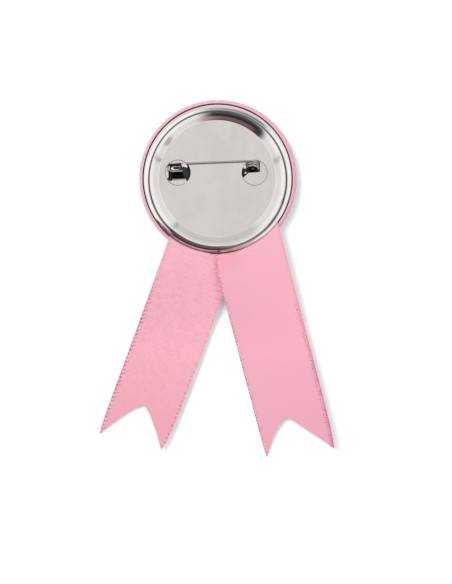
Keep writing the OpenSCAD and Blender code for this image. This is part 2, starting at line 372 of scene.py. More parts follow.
def makeSurroundings(v):
    world = bpy.data.worlds.new("tent")
    bpy.context.scene.world = world
    world.use_nodes = True
    tree = world.node_tree
    tree.nodes.clear()
    black = (0, 0, 0)
    parts = splitPlace(tree, addNode(tree, "ShaderNodeTexCoord").outputs["Generated"])
    tilt = maths(tree, "DEGREES", maths(tree, "ARCCOSINE", parts["Z"]))
    around = maths(tree, "DEGREES", maths(tree, "ARCTAN2", parts["Y"], parts["X"]))
    quarter = maths(tree, "DIVIDE", tilt, 90.0)

    def window(value, limits):
        opens = smoothStep(tree, value, limits[0], limits[1])
        closes = smoothStep(tree, value, limits[2], limits[3], 1.0, 0.0)
        return times(tree, opens, closes)

    def patch(aroundLimits, tallLimits, strength=1.0):
        return times(tree, window(around, aroundLimits), window(tilt, tallLimits), strength)

    def wallRamp(stops):
        return colourRamp(tree, quarter, [(degrees / 90, shade) for degrees, shade in stops])

    farSide = patch(v["farAround"], v["farTall"], 1 - v["farShade"])
    colour = mixColour(tree, farSide, wallRamp(v["walls"]), black)
    fade = v["standFade"]
    for place, half, shade, low, high in v["stands"]:
        limits = (place - half, place - half / 3, place + half / 3, place + half)
        stand = patch(limits, (low - fade, low, high, high + fade), 1 - shade)
        colour = mixColour(tree, stand, colour, black)
    colour = mixColour(tree, patch(v["shapeAround"], v["shapeTall"]), colour, wallRamp(v["shape"]))
    pink = mixColour(tree, smoothStep(tree, around, *v["paleAround"]), v["pinkDeep"], v["pinkPale"])
    colour = mixColour(tree, patch(v["pinkAround"], v["pinkTall"]), colour, pink)
    seen = addNode(tree, "ShaderNodeBackground", {"Color": (*v["behind"], 1.0)}).outputs[0]
    reflected = addNode(tree, "ShaderNodeBackground", {"Color": colour}).outputs[0]
    isCamera = addNode(tree, "ShaderNodeLightPath").outputs["Is Camera Ray"]
    mixed = addNode(tree, "ShaderNodeMixShader", {0: isCamera, 1: reflected, 2: seen}).outputs[0]
    addNode(tree, "ShaderNodeOutputWorld", {"Surface": mixed})


makeSurroundings(surroundings)


# Light: one soft lamp from the upper left, which gives the short shadows at the right

lampValues = {
    "around": 140, "up": 58, "spread": 24,     # degrees
    "strength": 1.45,                          # watts per square metre
    "colour": (1.0, 0.99, 0.985),
}


def makeLamp(v):
    data = bpy.data.lights.new("lamp", "SUN")
    data.energy = v["strength"]
    data.angle = math.radians(v["spread"])
    data.color = v["colour"]
    lamp = bpy.data.objects.new("lamp", data)
    bpy.context.scene.collection.objects.link(lamp)
    a, e = math.radians(v["around"]), math.radians(v["up"])
    back = Vector((math.cos(a) * math.cos(e), math.sin(a) * math.cos(e), math.sin(e)))
    lamp.rotation_euler = back.to_track_quat("Z", "Y").to_euler()
    lamp.location = back
    lamp.visible_glossy = False


makeLamp(lampValues)


# The floor is a plain white sheet, which glows a little, as paper does on a light table

floorValues = {
    "half": 2500.0, "height": -0.05,
    "colour": (0.885, 0.955, 0.94), "glow": (0.125, 0.165, 0.155), "roughness": 0.9,
}


def makeFloor(v):
    h, z = v["half"], v["height"]
    floor = makePiece("floor", [(-h, -h, z), (h, -h, z), (h, h, z), (-h, h, z)], [(0, 1, 2, 3)])
    material = bpy.data.materials.new("whiteSheet")
    material.use_nodes = True
    shader = material.node_tree.nodes["Principled BSDF"]
    shader.inputs["Base Color"].default_value = (*v["colour"], 1.0)
    shader.inputs["Roughness"].default_value = v["roughness"]
    shader.inputs["Specular IOR Level"].default_value = 0.0
    shader.inputs["Emission Color"].default_value = (*v["glow"], 1.0)
    shader.inputs["Emission Strength"].default_value = 1.0
    floor.data.materials.append(material)


makeFloor(floorValues)
bpy.context.scene.view_settings.view_transform = "Standard"
print("camera, surroundings, lamp and floor made")


# Effects that several materials share

# Noise keeps to the middle of its range, so this much of it is spread over the whole of an effect
noiseCore = (0.35, 0.65)
noiseWide = (0.3, 0.7)

grainValues = {"detail": 4.0, "cloudScale": 0.12, "cloudDetail": 2.0}
weaveValues = {"streakAcross": 0.16, "streakDown": 2.4, "streakDetail": 3.0, "reliefShare": 0.6}


def makeRingShade():
    tree, given, result = startGroup("ringShade", "ShaderNodeTree", [
        ("Vector", "Vector", None), ("Left", "Float", 0.35), ("Low", "Float", 0.0),
        ("Inner", "Float", 25.0), ("Outer", "Float", 25.5), ("Softness", "Float", 0.1)],
        [("Mask", "Float")])
    parts = splitPlace(tree, toMillimetres(tree, given["Vector"]))
    across = maths(tree, "ADD", parts["X"], given["Left"])
    up = maths(tree, "ADD", parts["Y"], given["Low"])
    reach = maths(tree, "SQRT", maths(tree, "ADD", times(tree, across, across), times(tree, up, up)))

    def past(edge):
        start = maths(tree, "SUBTRACT", given[edge], given["Softness"])
        stop = maths(tree, "ADD", given[edge], given["Softness"])
        return smoothStep(tree, reach, start, stop)

    tree.links.new(maths(tree, "SUBTRACT", past("Inner"), past("Outer")), result["Mask"])
    return tree


def makeRollingGrain(v):
    tree, given, result = startGroup("rollingGrain", "ShaderNodeTree", [
        ("Vector", "Vector", None), ("Scale", "Float", 1.0), ("Stretch", "Float", 12.0),
        ("Turn", "Float", 0.0)], [("Grain", "Float"), ("Cloud", "Float")])
    place = toMillimetres(tree, given["Vector"])
    turned = addNode(tree, "ShaderNodeVectorRotate", {"Vector": place, "Angle": given["Turn"]},
                     rotation_type="Z_AXIS").outputs[0]
    parts = splitPlace(tree, turned)
    drawn = joinPlace(tree, parts["X"], maths(tree, "DIVIDE", parts["Y"], given["Stretch"]), parts["Z"])
    for label, at, scale, detail in (("Grain", drawn, given["Scale"], v["detail"]),
                                     ("Cloud", place, v["cloudScale"], v["cloudDetail"])):
        noise = addNode(tree, "ShaderNodeTexNoise", {"Vector": at, "Scale": scale, "Detail": detail})
        tree.links.new(noise.outputs[0], result[label])
    return tree


def makeSatinWeave(v):
    tree, given, result = startGroup("satinWeave", "ShaderNodeTree", [
        ("Vector", "Vector", None), ("Warp", "Float", 0.3), ("Weft", "Float", 0.3),
        ("Slant", "Float", 0.5)], [("Height", "Float"), ("Shade", "Float"), ("Streaks", "Float")])
    parts = splitPlace(tree, given["Vector"])
    across, down = parts["X"], parts["Y"]
    threads = maths(tree, "DIVIDE", across, given["Warp"])
    column = maths(tree, "FLOOR", threads)
    slanted = times(tree, column, given["Slant"])
    floats = maths(tree, "ADD", maths(tree, "DIVIDE", down, given["Weft"]), slanted)
    cell = joinPlace(tree, column, maths(tree, "FLOOR", floats))
    chance = addNode(tree, "ShaderNodeTexWhiteNoise", {"Vector": cell}, noise_dimensions="3D").outputs[0]
    height = times(tree, wave(tree, threads), wave(tree, floats))
    drawn = joinPlace(tree, times(tree, across, v["streakAcross"]), times(tree, down, v["streakDown"]))
    streaks = addNode(tree, "ShaderNodeTexNoise", {
        "Vector": drawn, "Scale": 1.0, "Detail": v["streakDetail"]}).outputs[0]
    share = v["reliefShare"]
    shade = maths(tree, "ADD", times(tree, height, share), times(tree, chance, 1 - share))
    tree.links.new(height, result["Height"])
    tree.links.new(shade, result["Shade"])
    tree.links.new(streaks, result["Streaks"])
    return tree


def makeDepthShade():
    tree, given, result = startGroup("depthShade", "ShaderNodeTree", [
        ("Vector", "Vector", None), ("Low", "Float", 3.9), ("High", "Float", 4.4)], [("Mask", "Float")])
    height = maths(tree, "DIVIDE", splitPlace(tree, given["Vector"])["Z"], mm)
    tree.links.new(smoothStep(tree, height, given["Low"], given["High"], 1.0, 0.0), result["Mask"])
    return tree


ringShade = makeRingShade()
depthShade = makeDepthShade()
rollingGrain = makeRollingGrain(grainValues)
satinWeave = makeSatinWeave(weaveValues)


def startMaterial(name):
    material = bpy.data.materials.new(name)
    material.use_nodes = True
    tree = material.node_tree
    coordinates = addNode(tree, "ShaderNodeTexCoord").outputs
    return material, tree, tree.nodes["Principled BSDF"].inputs, coordinates


def placeGroup(tree, group, **inputs):
    return addNode(tree, "ShaderNodeGroup", inputs, node_tree=group).outputs


def linkBump(tree, shader, height, strength, depth):
    inputs = {"Height": height, "Strength": strength, "Distance": depth * mm}
    tree.links.new(addNode(tree, "ShaderNodeBump", inputs).outputs[0], shader["Normal"])


def linkRoughness(tree, shader, pattern, roughness):
    tree.links.new(smoothStep(tree, pattern, *noiseWide, *roughness), shader["Roughness"])


# In each dictionary a bump is its strength and its depth, and a roughness its least and its most

tinValues = {
    "bright": (0.86, 0.832, 0.815), "dull": (0.81, 0.785, 0.77), "cloudCore": (0.35, 0.7),
    "roughness": (0.07, 0.12), "bump": (0.06, 0.02), "grainScale": 1.6, "grainStretch": 30.0,
    "baseTurn": 0.6,                           # radians that the base's grain is turned from the plate's
    # Painted shade in the crease and at the seam: how far left and down the ring's middle is, inner, outer,
    # softness and depth
    "rings": (
        (0.1, 0.4, 24.98, 25.6, 0.16, 0.74), (0.2, 0.72, 25.2, 25.6, 0.2, 0.5),
        (0.17, 0.0, 27.2, 27.5, 0.08, 0.5)),
    "paintedShade": (0.05, 0.045, 0.045),
    # Painted shade low down, in the catch's dip and at the hinge post's foot: its colour, and the heights
    # below which it sets in
    "deep": (0.02, 0.018, 0.012), "deepFrom": (4.15, 4.42), "postDeepFrom": (6.6, 6.95),
    # Painted shade along the hood's edge: the wire's slope, its height at the middle, the band's start and
    # its right end
    "hoodEdge": (2.4, 5.915, -0.78, -13.35), "hoodFade": (0.08, 0.2),
}


def makeTin(name, v, turn=0.0, rings=(), deep=None, hoodEdge=None):
    material, tree, shader, coordinates = startMaterial(name)
    place = coordinates["Object"]
    grain = placeGroup(tree, rollingGrain, Vector=place, Scale=v["grainScale"], Stretch=v["grainStretch"],
                       Turn=turn)
    colour = mixColour(tree, smoothStep(tree, grain["Cloud"], *v["cloudCore"]), v["bright"], v["dull"])
    # Painted shade in rings along the crease and the seam
    for left, low, inner, outer, softness, depth in rings:
        shade = placeGroup(tree, ringShade, Vector=place, Left=left, Low=low, Inner=inner, Outer=outer,
                           Softness=softness)
        colour = mixColour(tree, times(tree, shade["Mask"], depth), colour, v["paintedShade"])
    # Painted shade below a height
    if deep:
        shade = placeGroup(tree, depthShade, Vector=place, Low=deep[0], High=deep[1])
        colour = mixColour(tree, shade["Mask"], colour, v["deep"])
    # Painted shade in a band along the hood's edge
    if hoodEdge:
        slope, height, start, right = hoodEdge
        fade, endFade = v["hoodFade"]
        parts = splitPlace(tree, place)
        lift = times(tree, parts["X"], math.tan(math.radians(slope)))
        beside = maths(tree, "SUBTRACT", maths(tree, "SUBTRACT", parts["Y"], lift), height * mm)
        band = smoothStep(tree, beside, (start - fade) * mm, (start + fade) * mm)
        ends = smoothStep(tree, parts["X"], (right - endFade) * mm, right * mm, 1.0, 0.0)
        colour = mixColour(tree, times(tree, band, ends), colour, v["paintedShade"])
    tree.links.new(colour, shader["Base Color"])
    linkRoughness(tree, shader, grain["Grain"], v["roughness"])
    linkBump(tree, shader, grain["Grain"], *v["bump"])
    shader["Metallic"].default_value = 1.0
    return material


wireValues = {
    "bright": (0.62, 0.60, 0.585), "dull": (0.46, 0.445, 0.43),
    "roughness": (0.08, 0.15), "bump": (0.05, 0.01), "grainScale": 3.0, "grainStretch": 0.1,
}


def makeSteel(v):
    material, tree, shader, coordinates = startMaterial("steelWire")
    grain = placeGroup(tree, rollingGrain, Vector=coordinates["Object"], Scale=v["grainScale"],
                       Stretch=v["grainStretch"], Turn=0.0)
    spots = smoothStep(tree, grain["Grain"], *noiseCore)
    tree.links.new(mixColour(tree, spots, v["bright"], v["dull"]), shader["Base Color"])
    linkRoughness(tree, shader, grain["Grain"], v["roughness"])
    linkBump(tree, shader, grain["Grain"], *v["bump"])
    shader["Metallic"].default_value = 1.0
    return material


filmValues = {
    "pink": (0.74, 0.40, 0.50), "pale": (0.78, 0.45, 0.545), "grainScale": 4.0,
    "roughness": (0.3, 0.42), "bump": (0.12, 0.03), "coat": 0.25, "coatRoughness": 0.2,
    # Painted shade at the seam's gap, dark red, and on the shell's inside, near black, each up to a reach
    # from the opening's middle, and how high above the dome's foot they start
    "seamReach": 27.62, "seamShade": (0.42, 0.08, 0.16),
    "insideReach": 26.6, "inside": (0.012, 0.011, 0.007),
    "left": 0.17, "softness": 0.04, "behindFrom": (0.1, 0.4),
}


def makeFilm(v):
    material, tree, shader, coordinates = startMaterial("pinkFilm")
    place = coordinates["Object"]
    grain = placeGroup(tree, rollingGrain, Vector=place, Scale=v["grainScale"], Stretch=1.0, Turn=0.0)
    colour = mixColour(tree, smoothStep(tree, grain["Grain"], *noiseCore), v["pink"], v["pale"])
    behind = smoothStep(tree, splitPlace(tree, place)["Z"], *(height * mm for height in v["behindFrom"]))
    # Painted shade: the seam's gap and the shell's inside
    for reach, shade in ((v["seamReach"], v["seamShade"]), (v["insideReach"], v["inside"])):
        hidden = placeGroup(tree, ringShade, Vector=place, Left=v["left"], Inner=-1.0, Outer=reach,
                            Softness=v["softness"])
        colour = mixColour(tree, times(tree, hidden["Mask"], behind), colour, shade)
    tree.links.new(colour, shader["Base Color"])
    linkRoughness(tree, shader, grain["Grain"], v["roughness"])
    linkBump(tree, shader, grain["Grain"], *v["bump"])
    shader["Coat Weight"].default_value = v["coat"]
    shader["Coat Roughness"].default_value = v["coatRoughness"]
    return material


# UV is in millimetres: across the ribbon from its left edge, and down it from the badge's rim.
# Contrast is the weave's share at the top and at the tip, and from where to where it changes.
# An edge is its width, its ticks' pitch and share of the width, how dark it is at the top and at the tip,
# and from where to where that changes. Rim is the width of the pale strip outside it, if it is above 0.
# Low is a darker colour painted near the tip as shade: where it starts, where it is full and how much of it
# there is.
# Wide is the ribbon's width at its start, the same as between its edges in tailValues.
satinValues = {
    "left": {
        "colour": (0.865, 0.434, 0.527), "shade": (0.76, 0.36, 0.445), "wide": 25.3,
        "warp": 0.86, "weft": 0.92, "slant": 0.5, "contrast": (0.3, 0.5, 6, 36), "bump": (0.2, 0.06),
        "leftEdge": (2.0, 1.54, 0.8, 0.3, 1.0, 6, 32), "rightEdge": (1.1, 1.6, 0.7, 0.45, 0.9, 6, 50),
        "rim": 0.16, "low": (0.71, 0.315, 0.39), "lowFrom": (26, 70, 0.6),
        "overlap": {
            "start": (-0.6, -28.4), "stop": (2.4, -43.2), "fadeOut": 1.5,
            "wide": 4.4, "topShare": 0.45, "widens": (-1.0, 9.0),
            "depth": 0.8, "leastShare": 0.25, "speckle": (0.15, 0.75)},
    },
    "right": {
        "colour": (0.845, 0.42, 0.52), "shade": (0.81, 0.393, 0.492), "wide": 26.15,
        "warp": 0.5, "weft": 0.9, "slant": 0.25, "contrast": (0.1, 0.1, 0, 1), "bump": (0.1, 0.06),
        "leftEdge": (1.3, 1.2, 0.8, 0.5, 0.9, 4, 44), "rightEdge": (1.7, 0.98, 0.75, 0.2, 0.9, 10, 60),
        "rim": -0.5, "low": (0.75, 0.352, 0.448), "lowFrom": (8, 82, 0.9), "overlap": None,
    },
    "edgeColour": (0.52, 0.155, 0.26), "tickSlant": 0.35, "bandFade": (0.45, 1.15), "rimFade": 0.2,
    "uneven": (0.8, 0.5, 1.4),                 # the edges' uneven width: scale, least and most
    # Painted shade where a tail bends down into the seam: its colour, and where it starts and ends from the
    # seam
    "seamShade": (0.76, 0.31, 0.39), "seamStarts": (-1.2, -0.8), "seamEnds": (-0.3, 0.1),
    # Painted shade in spots beside the corner where both tails enter: colour, middle, inner and outer
    # reach, strength
    "spots": (
        ((0.81, 0.34, 0.375), (3.0, -29.5, 5.2), 0.5, 8.0, 0.6),
        ((0.22, 0.006, 0.015), (0.25, -27.75, 5.2), 0.45, 0.85, 0.97)),
    "weaveCore": (0.25, 0.6), "roughness": (0.5, 0.62), "sheen": 0.15, "specular": 0.3,
}


# A ragged band along an edge, and how dark it is on the way down
def edgeBand(tree, toEdge, down, uneven, edge, shared):
    width, pitch, ragged, top, tip, start, stop = edge
    strength = smoothStep(tree, down, start, stop, top, tip)
    ticks = maths(tree, "DIVIDE", down, pitch)
    slanted = maths(tree, "ADD", ticks, times(tree, toEdge, shared["tickSlant"]))
    share = maths(tree, "SUBTRACT", 1.0, times(tree, wave(tree, slanted), ragged))
    reach = times(tree, share, width, uneven)
    return smoothStep(tree, maths(tree, "DIVIDE", toEdge, reach), *shared["bandFade"], 1.0, 0.0), strength


# Paints shadow in a band at the left of a line, where the upper tail's edge lies on the lower tail
def shadeBesideLine(tree, place, colour, dark, speckle, v):
    (startX, startY), (stopX, stopY) = v["start"], v["stop"]
    run, fall = stopX - startX, startY - stopY
    parts = splitPlace(tree, place)
    down = maths(tree, "SUBTRACT", startY, maths(tree, "DIVIDE", parts["Y"], mm))
    lineAt = maths(tree, "ADD", times(tree, down, run / fall), startX)
    beside = maths(tree, "SUBTRACT", lineAt, maths(tree, "DIVIDE", parts["X"], mm))
    width = smoothStep(tree, down, *v["widens"], v["topShare"] * v["wide"], v["wide"])
    near = smoothStep(tree, maths(tree, "DIVIDE", beside, width), 0.0, 1.0, 1.0, 0.0)
    ends = smoothStep(tree, down, fall, fall * v["fadeOut"], 1.0, 0.0)
    spots = smoothStep(tree, speckle, *v["speckle"], v["depth"], v["depth"] * v["leastShare"])
    return mixColour(tree, times(tree, near, ends, spots), colour, dark)


def makeSatin(name, v, shared):
    material, tree, shader, coordinates = startMaterial(name)
    flat = coordinates["UV"]
    weave = placeGroup(tree, satinWeave, Vector=flat, Warp=v["warp"], Weft=v["weft"], Slant=v["slant"])
    parts = splitPlace(tree, flat)
    across, down = parts["X"], parts["Y"]
    top, tip, start, stop = v["contrast"]
    contrast = smoothStep(tree, down, start, stop, top, tip)
    streaks = times(tree, weave["Streaks"], maths(tree, "SUBTRACT", 1.0, contrast))
    mixed = maths(tree, "ADD", times(tree, weave["Shade"], contrast), streaks)
    colour = mixColour(tree, smoothStep(tree, mixed, *shared["weaveCore"]), v["shade"], v["colour"])
    # Painted shade: darker towards the tip
    start, stop, most = v["lowFrom"]
    colour = mixColour(tree, smoothStep(tree, down, start, stop, 0.0, most), colour, v["low"])
    scale, least, most = shared["uneven"]
    patches = placeGroup(tree, rollingGrain, Vector=flat, Scale=scale * mm, Stretch=1.0, Turn=0.0)
    uneven = smoothStep(tree, patches["Grain"], *noiseCore, least, most)
    fromRight = maths(tree, "SUBTRACT", v["wide"], across)
    for toEdge, edge in ((across, v["leftEdge"]), (fromRight, v["rightEdge"])):
        band, strength = edgeBand(tree, toEdge, down, uneven, edge, shared)
        inside = smoothStep(tree, toEdge, v["rim"], v["rim"] + shared["rimFade"])
        colour = mixColour(tree, times(tree, band, inside, strength), colour, shared["edgeColour"])
    # Painted shadow of the upper tail's edge on the lower tail
    if v["overlap"]:
        colour = shadeBesideLine(tree, coordinates["Object"], colour, shared["edgeColour"], weave["Shade"],
                                 v["overlap"])
    # Painted shade where the tail bends into the seam
    fromSeam = addNode(tree, "ShaderNodeAttribute", attribute_name="fromSeam").outputs["Fac"]
    seam = times(tree, smoothStep(tree, fromSeam, *shared["seamEnds"], 1.0, 0.0),
                 smoothStep(tree, fromSeam, *shared["seamStarts"]))
    colour = mixColour(tree, seam, colour, shared["seamShade"])
    # Painted shade in spots beside the corner where the tails enter
    for shade, middle, inner, outer, strength in shared["spots"]:
        away = vectorMaths(tree, "SUBTRACT", coordinates["Object"], tuple(c * mm for c in middle))
        length = addNode(tree, "ShaderNodeVectorMath", {0: away}, operation="LENGTH").outputs[1]
        reach = maths(tree, "DIVIDE", length, mm)
        colour = mixColour(tree, smoothStep(tree, reach, inner, outer, strength, 0.0), colour, shade)
    tree.links.new(colour, shader["Base Color"])
    linkRoughness(tree, shader, weave["Streaks"], shared["roughness"])
    linkBump(tree, shader, weave["Height"], *v["bump"])
    shader["Sheen Weight"].default_value = shared["sheen"]
    shader["Specular IOR Level"].default_value = shared["specular"]
    return material


# The edge threads: pale ones, whose light tone is partly a painted highlight, and the redder ones at the
# right tail's outer edge
threadValues = {
    "pale": {"light": (0.96, 0.57, 0.67), "dark": (0.82, 0.40, 0.50)},
    "deep": {"light": (0.70, 0.28, 0.40), "dark": (0.50, 0.14, 0.25)},
    "grainScale": 1.2, "bump": (0.3, 0.03), "evenRoughness": 0.5,
}


def makeThread(name, v, shared):
    material, tree, shader, coordinates = startMaterial(name)
    grain = placeGroup(tree, rollingGrain, Vector=coordinates["Object"], Scale=shared["grainScale"],
                       Stretch=1.0, Turn=0.0)
    colour = mixColour(tree, smoothStep(tree, grain["Grain"], *noiseCore), v["light"], v["dark"])
    tree.links.new(colour, shader["Base Color"])
    linkBump(tree, shader, grain["Grain"], *shared["bump"])
    shader["Roughness"].default_value = shared["evenRoughness"]
    return material


leftSatin = makeSatin("leftSatin", satinValues["left"], satinValues)
rightSatin = makeSatin("rightSatin", satinValues["right"], satinValues)
threads = {key: makeThread(key + "Thread", threadValues[key], threadValues) for key in ("pale", "deep")}
plateTin = makeTin("plateTin", tinValues, rings=tinValues["rings"])
baseTin = makeTin("baseTin", tinValues, tinValues["baseTurn"], deep=tinValues["deepFrom"])
hoodTin = makeTin("hoodTin", tinValues, tinValues["baseTurn"], deep=tinValues["deepFrom"],
                  hoodEdge=tinValues["hoodEdge"])
postTin = makeTin("postTin", tinValues, tinValues["baseTurn"], deep=tinValues["postDeepFrom"])
steelWire = makeSteel(wireValues)
pinkFilm = makeFilm(filmValues)
print("metal, film, satin and thread materials made")


# Turns a profile, drawn as X and Z, about an upright axis

def makeTurnTree():
    tree, given, result = startGroup("turnOnAxis", "GeometryNodeTree", [
        ("Geometry", "Geometry", None), ("Segments", "Int", 180), ("Centre", "Vector", None),
        ("Flip", "Bool", False), ("Material", "Material", None)], [("Geometry", "Geometry")])
    count = addNode(tree, "GeometryNodeAttributeDomainSize", {0: given["Geometry"]}).outputs["Point Count"]
    columns = maths(tree, "ADD", given["Segments"], 1.0)
    grid = addNode(tree, "GeometryNodeMeshGrid", {"Vertices X": columns, "Vertices Y": count}).outputs[0]
    index = addNode(tree, "GeometryNodeInputIndex").outputs[0]
    column = maths(tree, "FLOOR", maths(tree, "DIVIDE", index, count))
    row = maths(tree, "SUBTRACT", index, times(tree, column, count))
    position = addNode(tree, "GeometryNodeInputPosition").outputs[0]
    sampled = addNode(tree, "GeometryNodeSampleIndex", {
        "Geometry": given["Geometry"], "Value": position, "Index": row}, data_type="FLOAT_VECTOR")
    parts = splitPlace(tree, sampled.outputs[0])
    angle = times(tree, maths(tree, "DIVIDE", column, given["Segments"]), math.tau)
    turned = joinPlace(tree, times(tree, maths(tree, "COSINE", angle), parts["X"]),
                       times(tree, maths(tree, "SINE", angle), parts["X"]), parts["Z"])
    placed = vectorMaths(tree, "ADD", turned, given["Centre"])
    moved = addNode(tree, "GeometryNodeSetPosition", {"Geometry": grid, "Position": placed}).outputs[0]
    merged = addNode(tree, "GeometryNodeMergeByDistance", {
        "Geometry": moved, "Distance": weldAt["turned"] * mm})
    flipped = addNode(tree, "GeometryNodeFlipFaces", {
        "Mesh": merged.outputs[0], "Selection": given["Flip"]})
    return endTree(tree, flipped.outputs[0], given["Material"], result)


turnOnAxis = makeTurnTree()


def turnProfile(name, profile, centre, material, segments, flip=False):
    points = [(x, 0.0, z) for x, z in profile]
    place = (centre[0] * mm, centre[1] * mm, 0.0)
    return runNodes(makePiece(name, points, edges=lineEdges(points)), turnOnAxis, {
        "Segments": segments, "Centre": place, "Flip": flip, "Material": material})


# Back plate: a turned rim round a flat recess with two windows

plateValues = {
    "left": 0.35, "rimLeft": 0.17,             # how far left the plate lies, and the edge of its flange
    "thick": 0.35,
    "flangeAcross": 54.7, "flangeHeight": 5.09, "flangeDip": 0.41, "flangeMiddle": (26.5, 5.0),
    "flangeBend": 0.5, "flangeRound": 0.36, "skirtFoot": 2.8,
    "ridgeAcross": 50.2, "ridgeHeight": 5.93, "ridgeBend": 0.2, "crest": (47.4, 5.69), "crown": 7.0,
    "recessAcross": 43.2, "recessHeight": 4.7, "recessFlat": 1.5, "recessBend": 0.9, "crease": 0.8,
    "offCentre": (0.3, -0.6, 24.4, 25.9, 27.1),             # how far the ridge's foot is pressed off centre
    "nearShare": 0.95,                                      # the share of that on the opposite side
    "pressedOut": (0.36, -104.0, 18.0, 42.0),               # how much further at the tails
    "bentDown": (0.56, -97.0, 36.0, 52.0, 26.25, 27.15),    # the flange's edge over the ribbons
    "aside": (26.3, 0.6),                                   # where, and over what width, rimLeft sets in
    "windowAcross": 9.44, "windowUp": 2.15, "catchWindow": -14.8, "hingeWindow": 13.4,
    "lip": 0.07, "lipFlat": 0.06, "lipSteps": 6,
    "sectionSteps": 10, "rimSegments": 420, "windowSegments": 120, "smooth": 40,
}


# A flat face at one height, inside the first ring and outside the others
def flatBetween(name, rings, height, upwards):
    mesh = bmesh.new()
    fillRings(mesh, rings, height)
    bmesh.ops.recalc_face_normals(mesh, faces=mesh.faces)
    for face in mesh.faces:
        if (face.normal.z > 0) != upwards:
            face.normal_flip()
    return fromBmesh(name, mesh)


# Presses the ridge's foot off centre and bends the flange's edge down
def pressPlate(plate, v):
    shiftX, shiftY, inner, most, outer = v["offCentre"]
    down, middle, full, end, bendFrom, bendTo = v["bentDown"]
    asideFrom, asideOver = v["aside"]
    for vertex in plate.data.vertices:
        x, y = vertex.co.x / mm + v["left"], vertex.co.y / mm
        reach = math.hypot(x, y)
        turn = math.degrees(math.atan2(y, x))
        share = ramp((reach - inner) / (most - inner)) * ramp((outer - reach) / (outer - most))
        pressed = (shiftX * x + shiftY * y) / reach
        pressed *= 1.0 if pressed > 0 else v["nearShare"]
        pressed = share * (pressed + roundAbout(turn, *v["pressedOut"]))
        moved = reach + pressed
        bend = roundAbout(turn, down, middle, full, end) * ramp((moved - bendFrom) / (bendTo - bendFrom))
        aside = (v["left"] - v["rimLeft"]) * ramp((reach - asideFrom) / asideOver)
        vertex.co += Vector((x / reach * pressed + aside, y / reach * pressed, -bend)) * mm


def makeBackPlate(v):
    half = v["thick"] / 2
    recessEdge, recess = v["recessAcross"] / 2 - v["recessFlat"], v["recessHeight"] - half
    ridgeEdge, flangeEdge = v["ridgeAcross"] / 2 - half, v["flangeAcross"] / 2 - half
    section = roundedPath([
        (recessEdge, recess, 0),
        (recessEdge + v["lipFlat"], recess, 0),
        (v["recessAcross"] / 2, recess, v["recessBend"]),
        (v["crest"][0] / 2, v["crest"][1] - half, v["crown"]),
        (ridgeEdge, v["ridgeHeight"] - half, v["ridgeBend"]),
        (ridgeEdge, v["flangeHeight"] - v["flangeDip"] - half, v["crease"]),
        (v["flangeMiddle"][0], v["flangeMiddle"][1] - half, v["flangeBend"]),
        (flangeEdge, v["flangeHeight"] - half, v["flangeRound"]),
        (flangeEdge, v["skirtFoot"], 0),
    ], v["sectionSteps"])
    profile = besidePath(section, half) + besidePath(section, -half)[::-1]
    centre = (-v["left"], 0)
    pieces = [turnProfile("plateRim", profile, centre, plateTin, v["rimSegments"])]
    pressPlate(pieces[0], v)
    windows = [(x, v["windowUp"]) for x in (v["catchWindow"], v["hingeWindow"])]
    top, bottom, lip = v["recessHeight"], v["recessHeight"] - v["thick"], v["lip"]
    lipMiddle = v["windowAcross"] / 2 + lip
    edge = lipMiddle + v["lipFlat"]
    lipProfile = [(edge, bottom), (lipMiddle, bottom)]
    lipProfile += arcPoints((lipMiddle, bottom + lip), lip, -90, -180, v["lipSteps"])
    lipProfile += arcPoints((lipMiddle, top - lip), lip, 180, 90, v["lipSteps"]) + [(edge, top)]
    rings = [ringPoints(centre, recessEdge, v["rimSegments"])]
    for window in windows:
        segments = v["windowSegments"]
        pieces.append(turnProfile("windowLip", lipProfile, window, plateTin, segments, flip=True))
        rings.append(ringPoints(window, edge, segments))
    pieces.append(flatBetween("recessTop", rings, top, True))
    pieces.append(flatBetween("recessUnder", rings, bottom, False))
    plate = weld(joinPieces("backPlate", pieces), outwards=True)
    return dress(smoothUpTo(plate, v["smooth"]), plateTin, "badge", "back_plate")


backPlate = makeBackPlate(plateValues)
print("back plate made:", len(backPlate.data.polygons), "faces")


# Shell: the domed front with its rolled edge, open round the seam of the back plate

shellValues = {
    "across": 58.0, "dome": 190.0, "thick": 0.5, "edge": 1.6, "seamAcross": 55.2,
    "left": 0.17,                              # how far left the opening lies
    "pushedOut": (0.22, -96.0, 34.0, 52.0),    # how far the ribbons push the edge out, and over what angles
    "lip": 0.06, "segments": 420, "domeSteps": 24, "edgeSteps": 30, "smooth": 35,
}


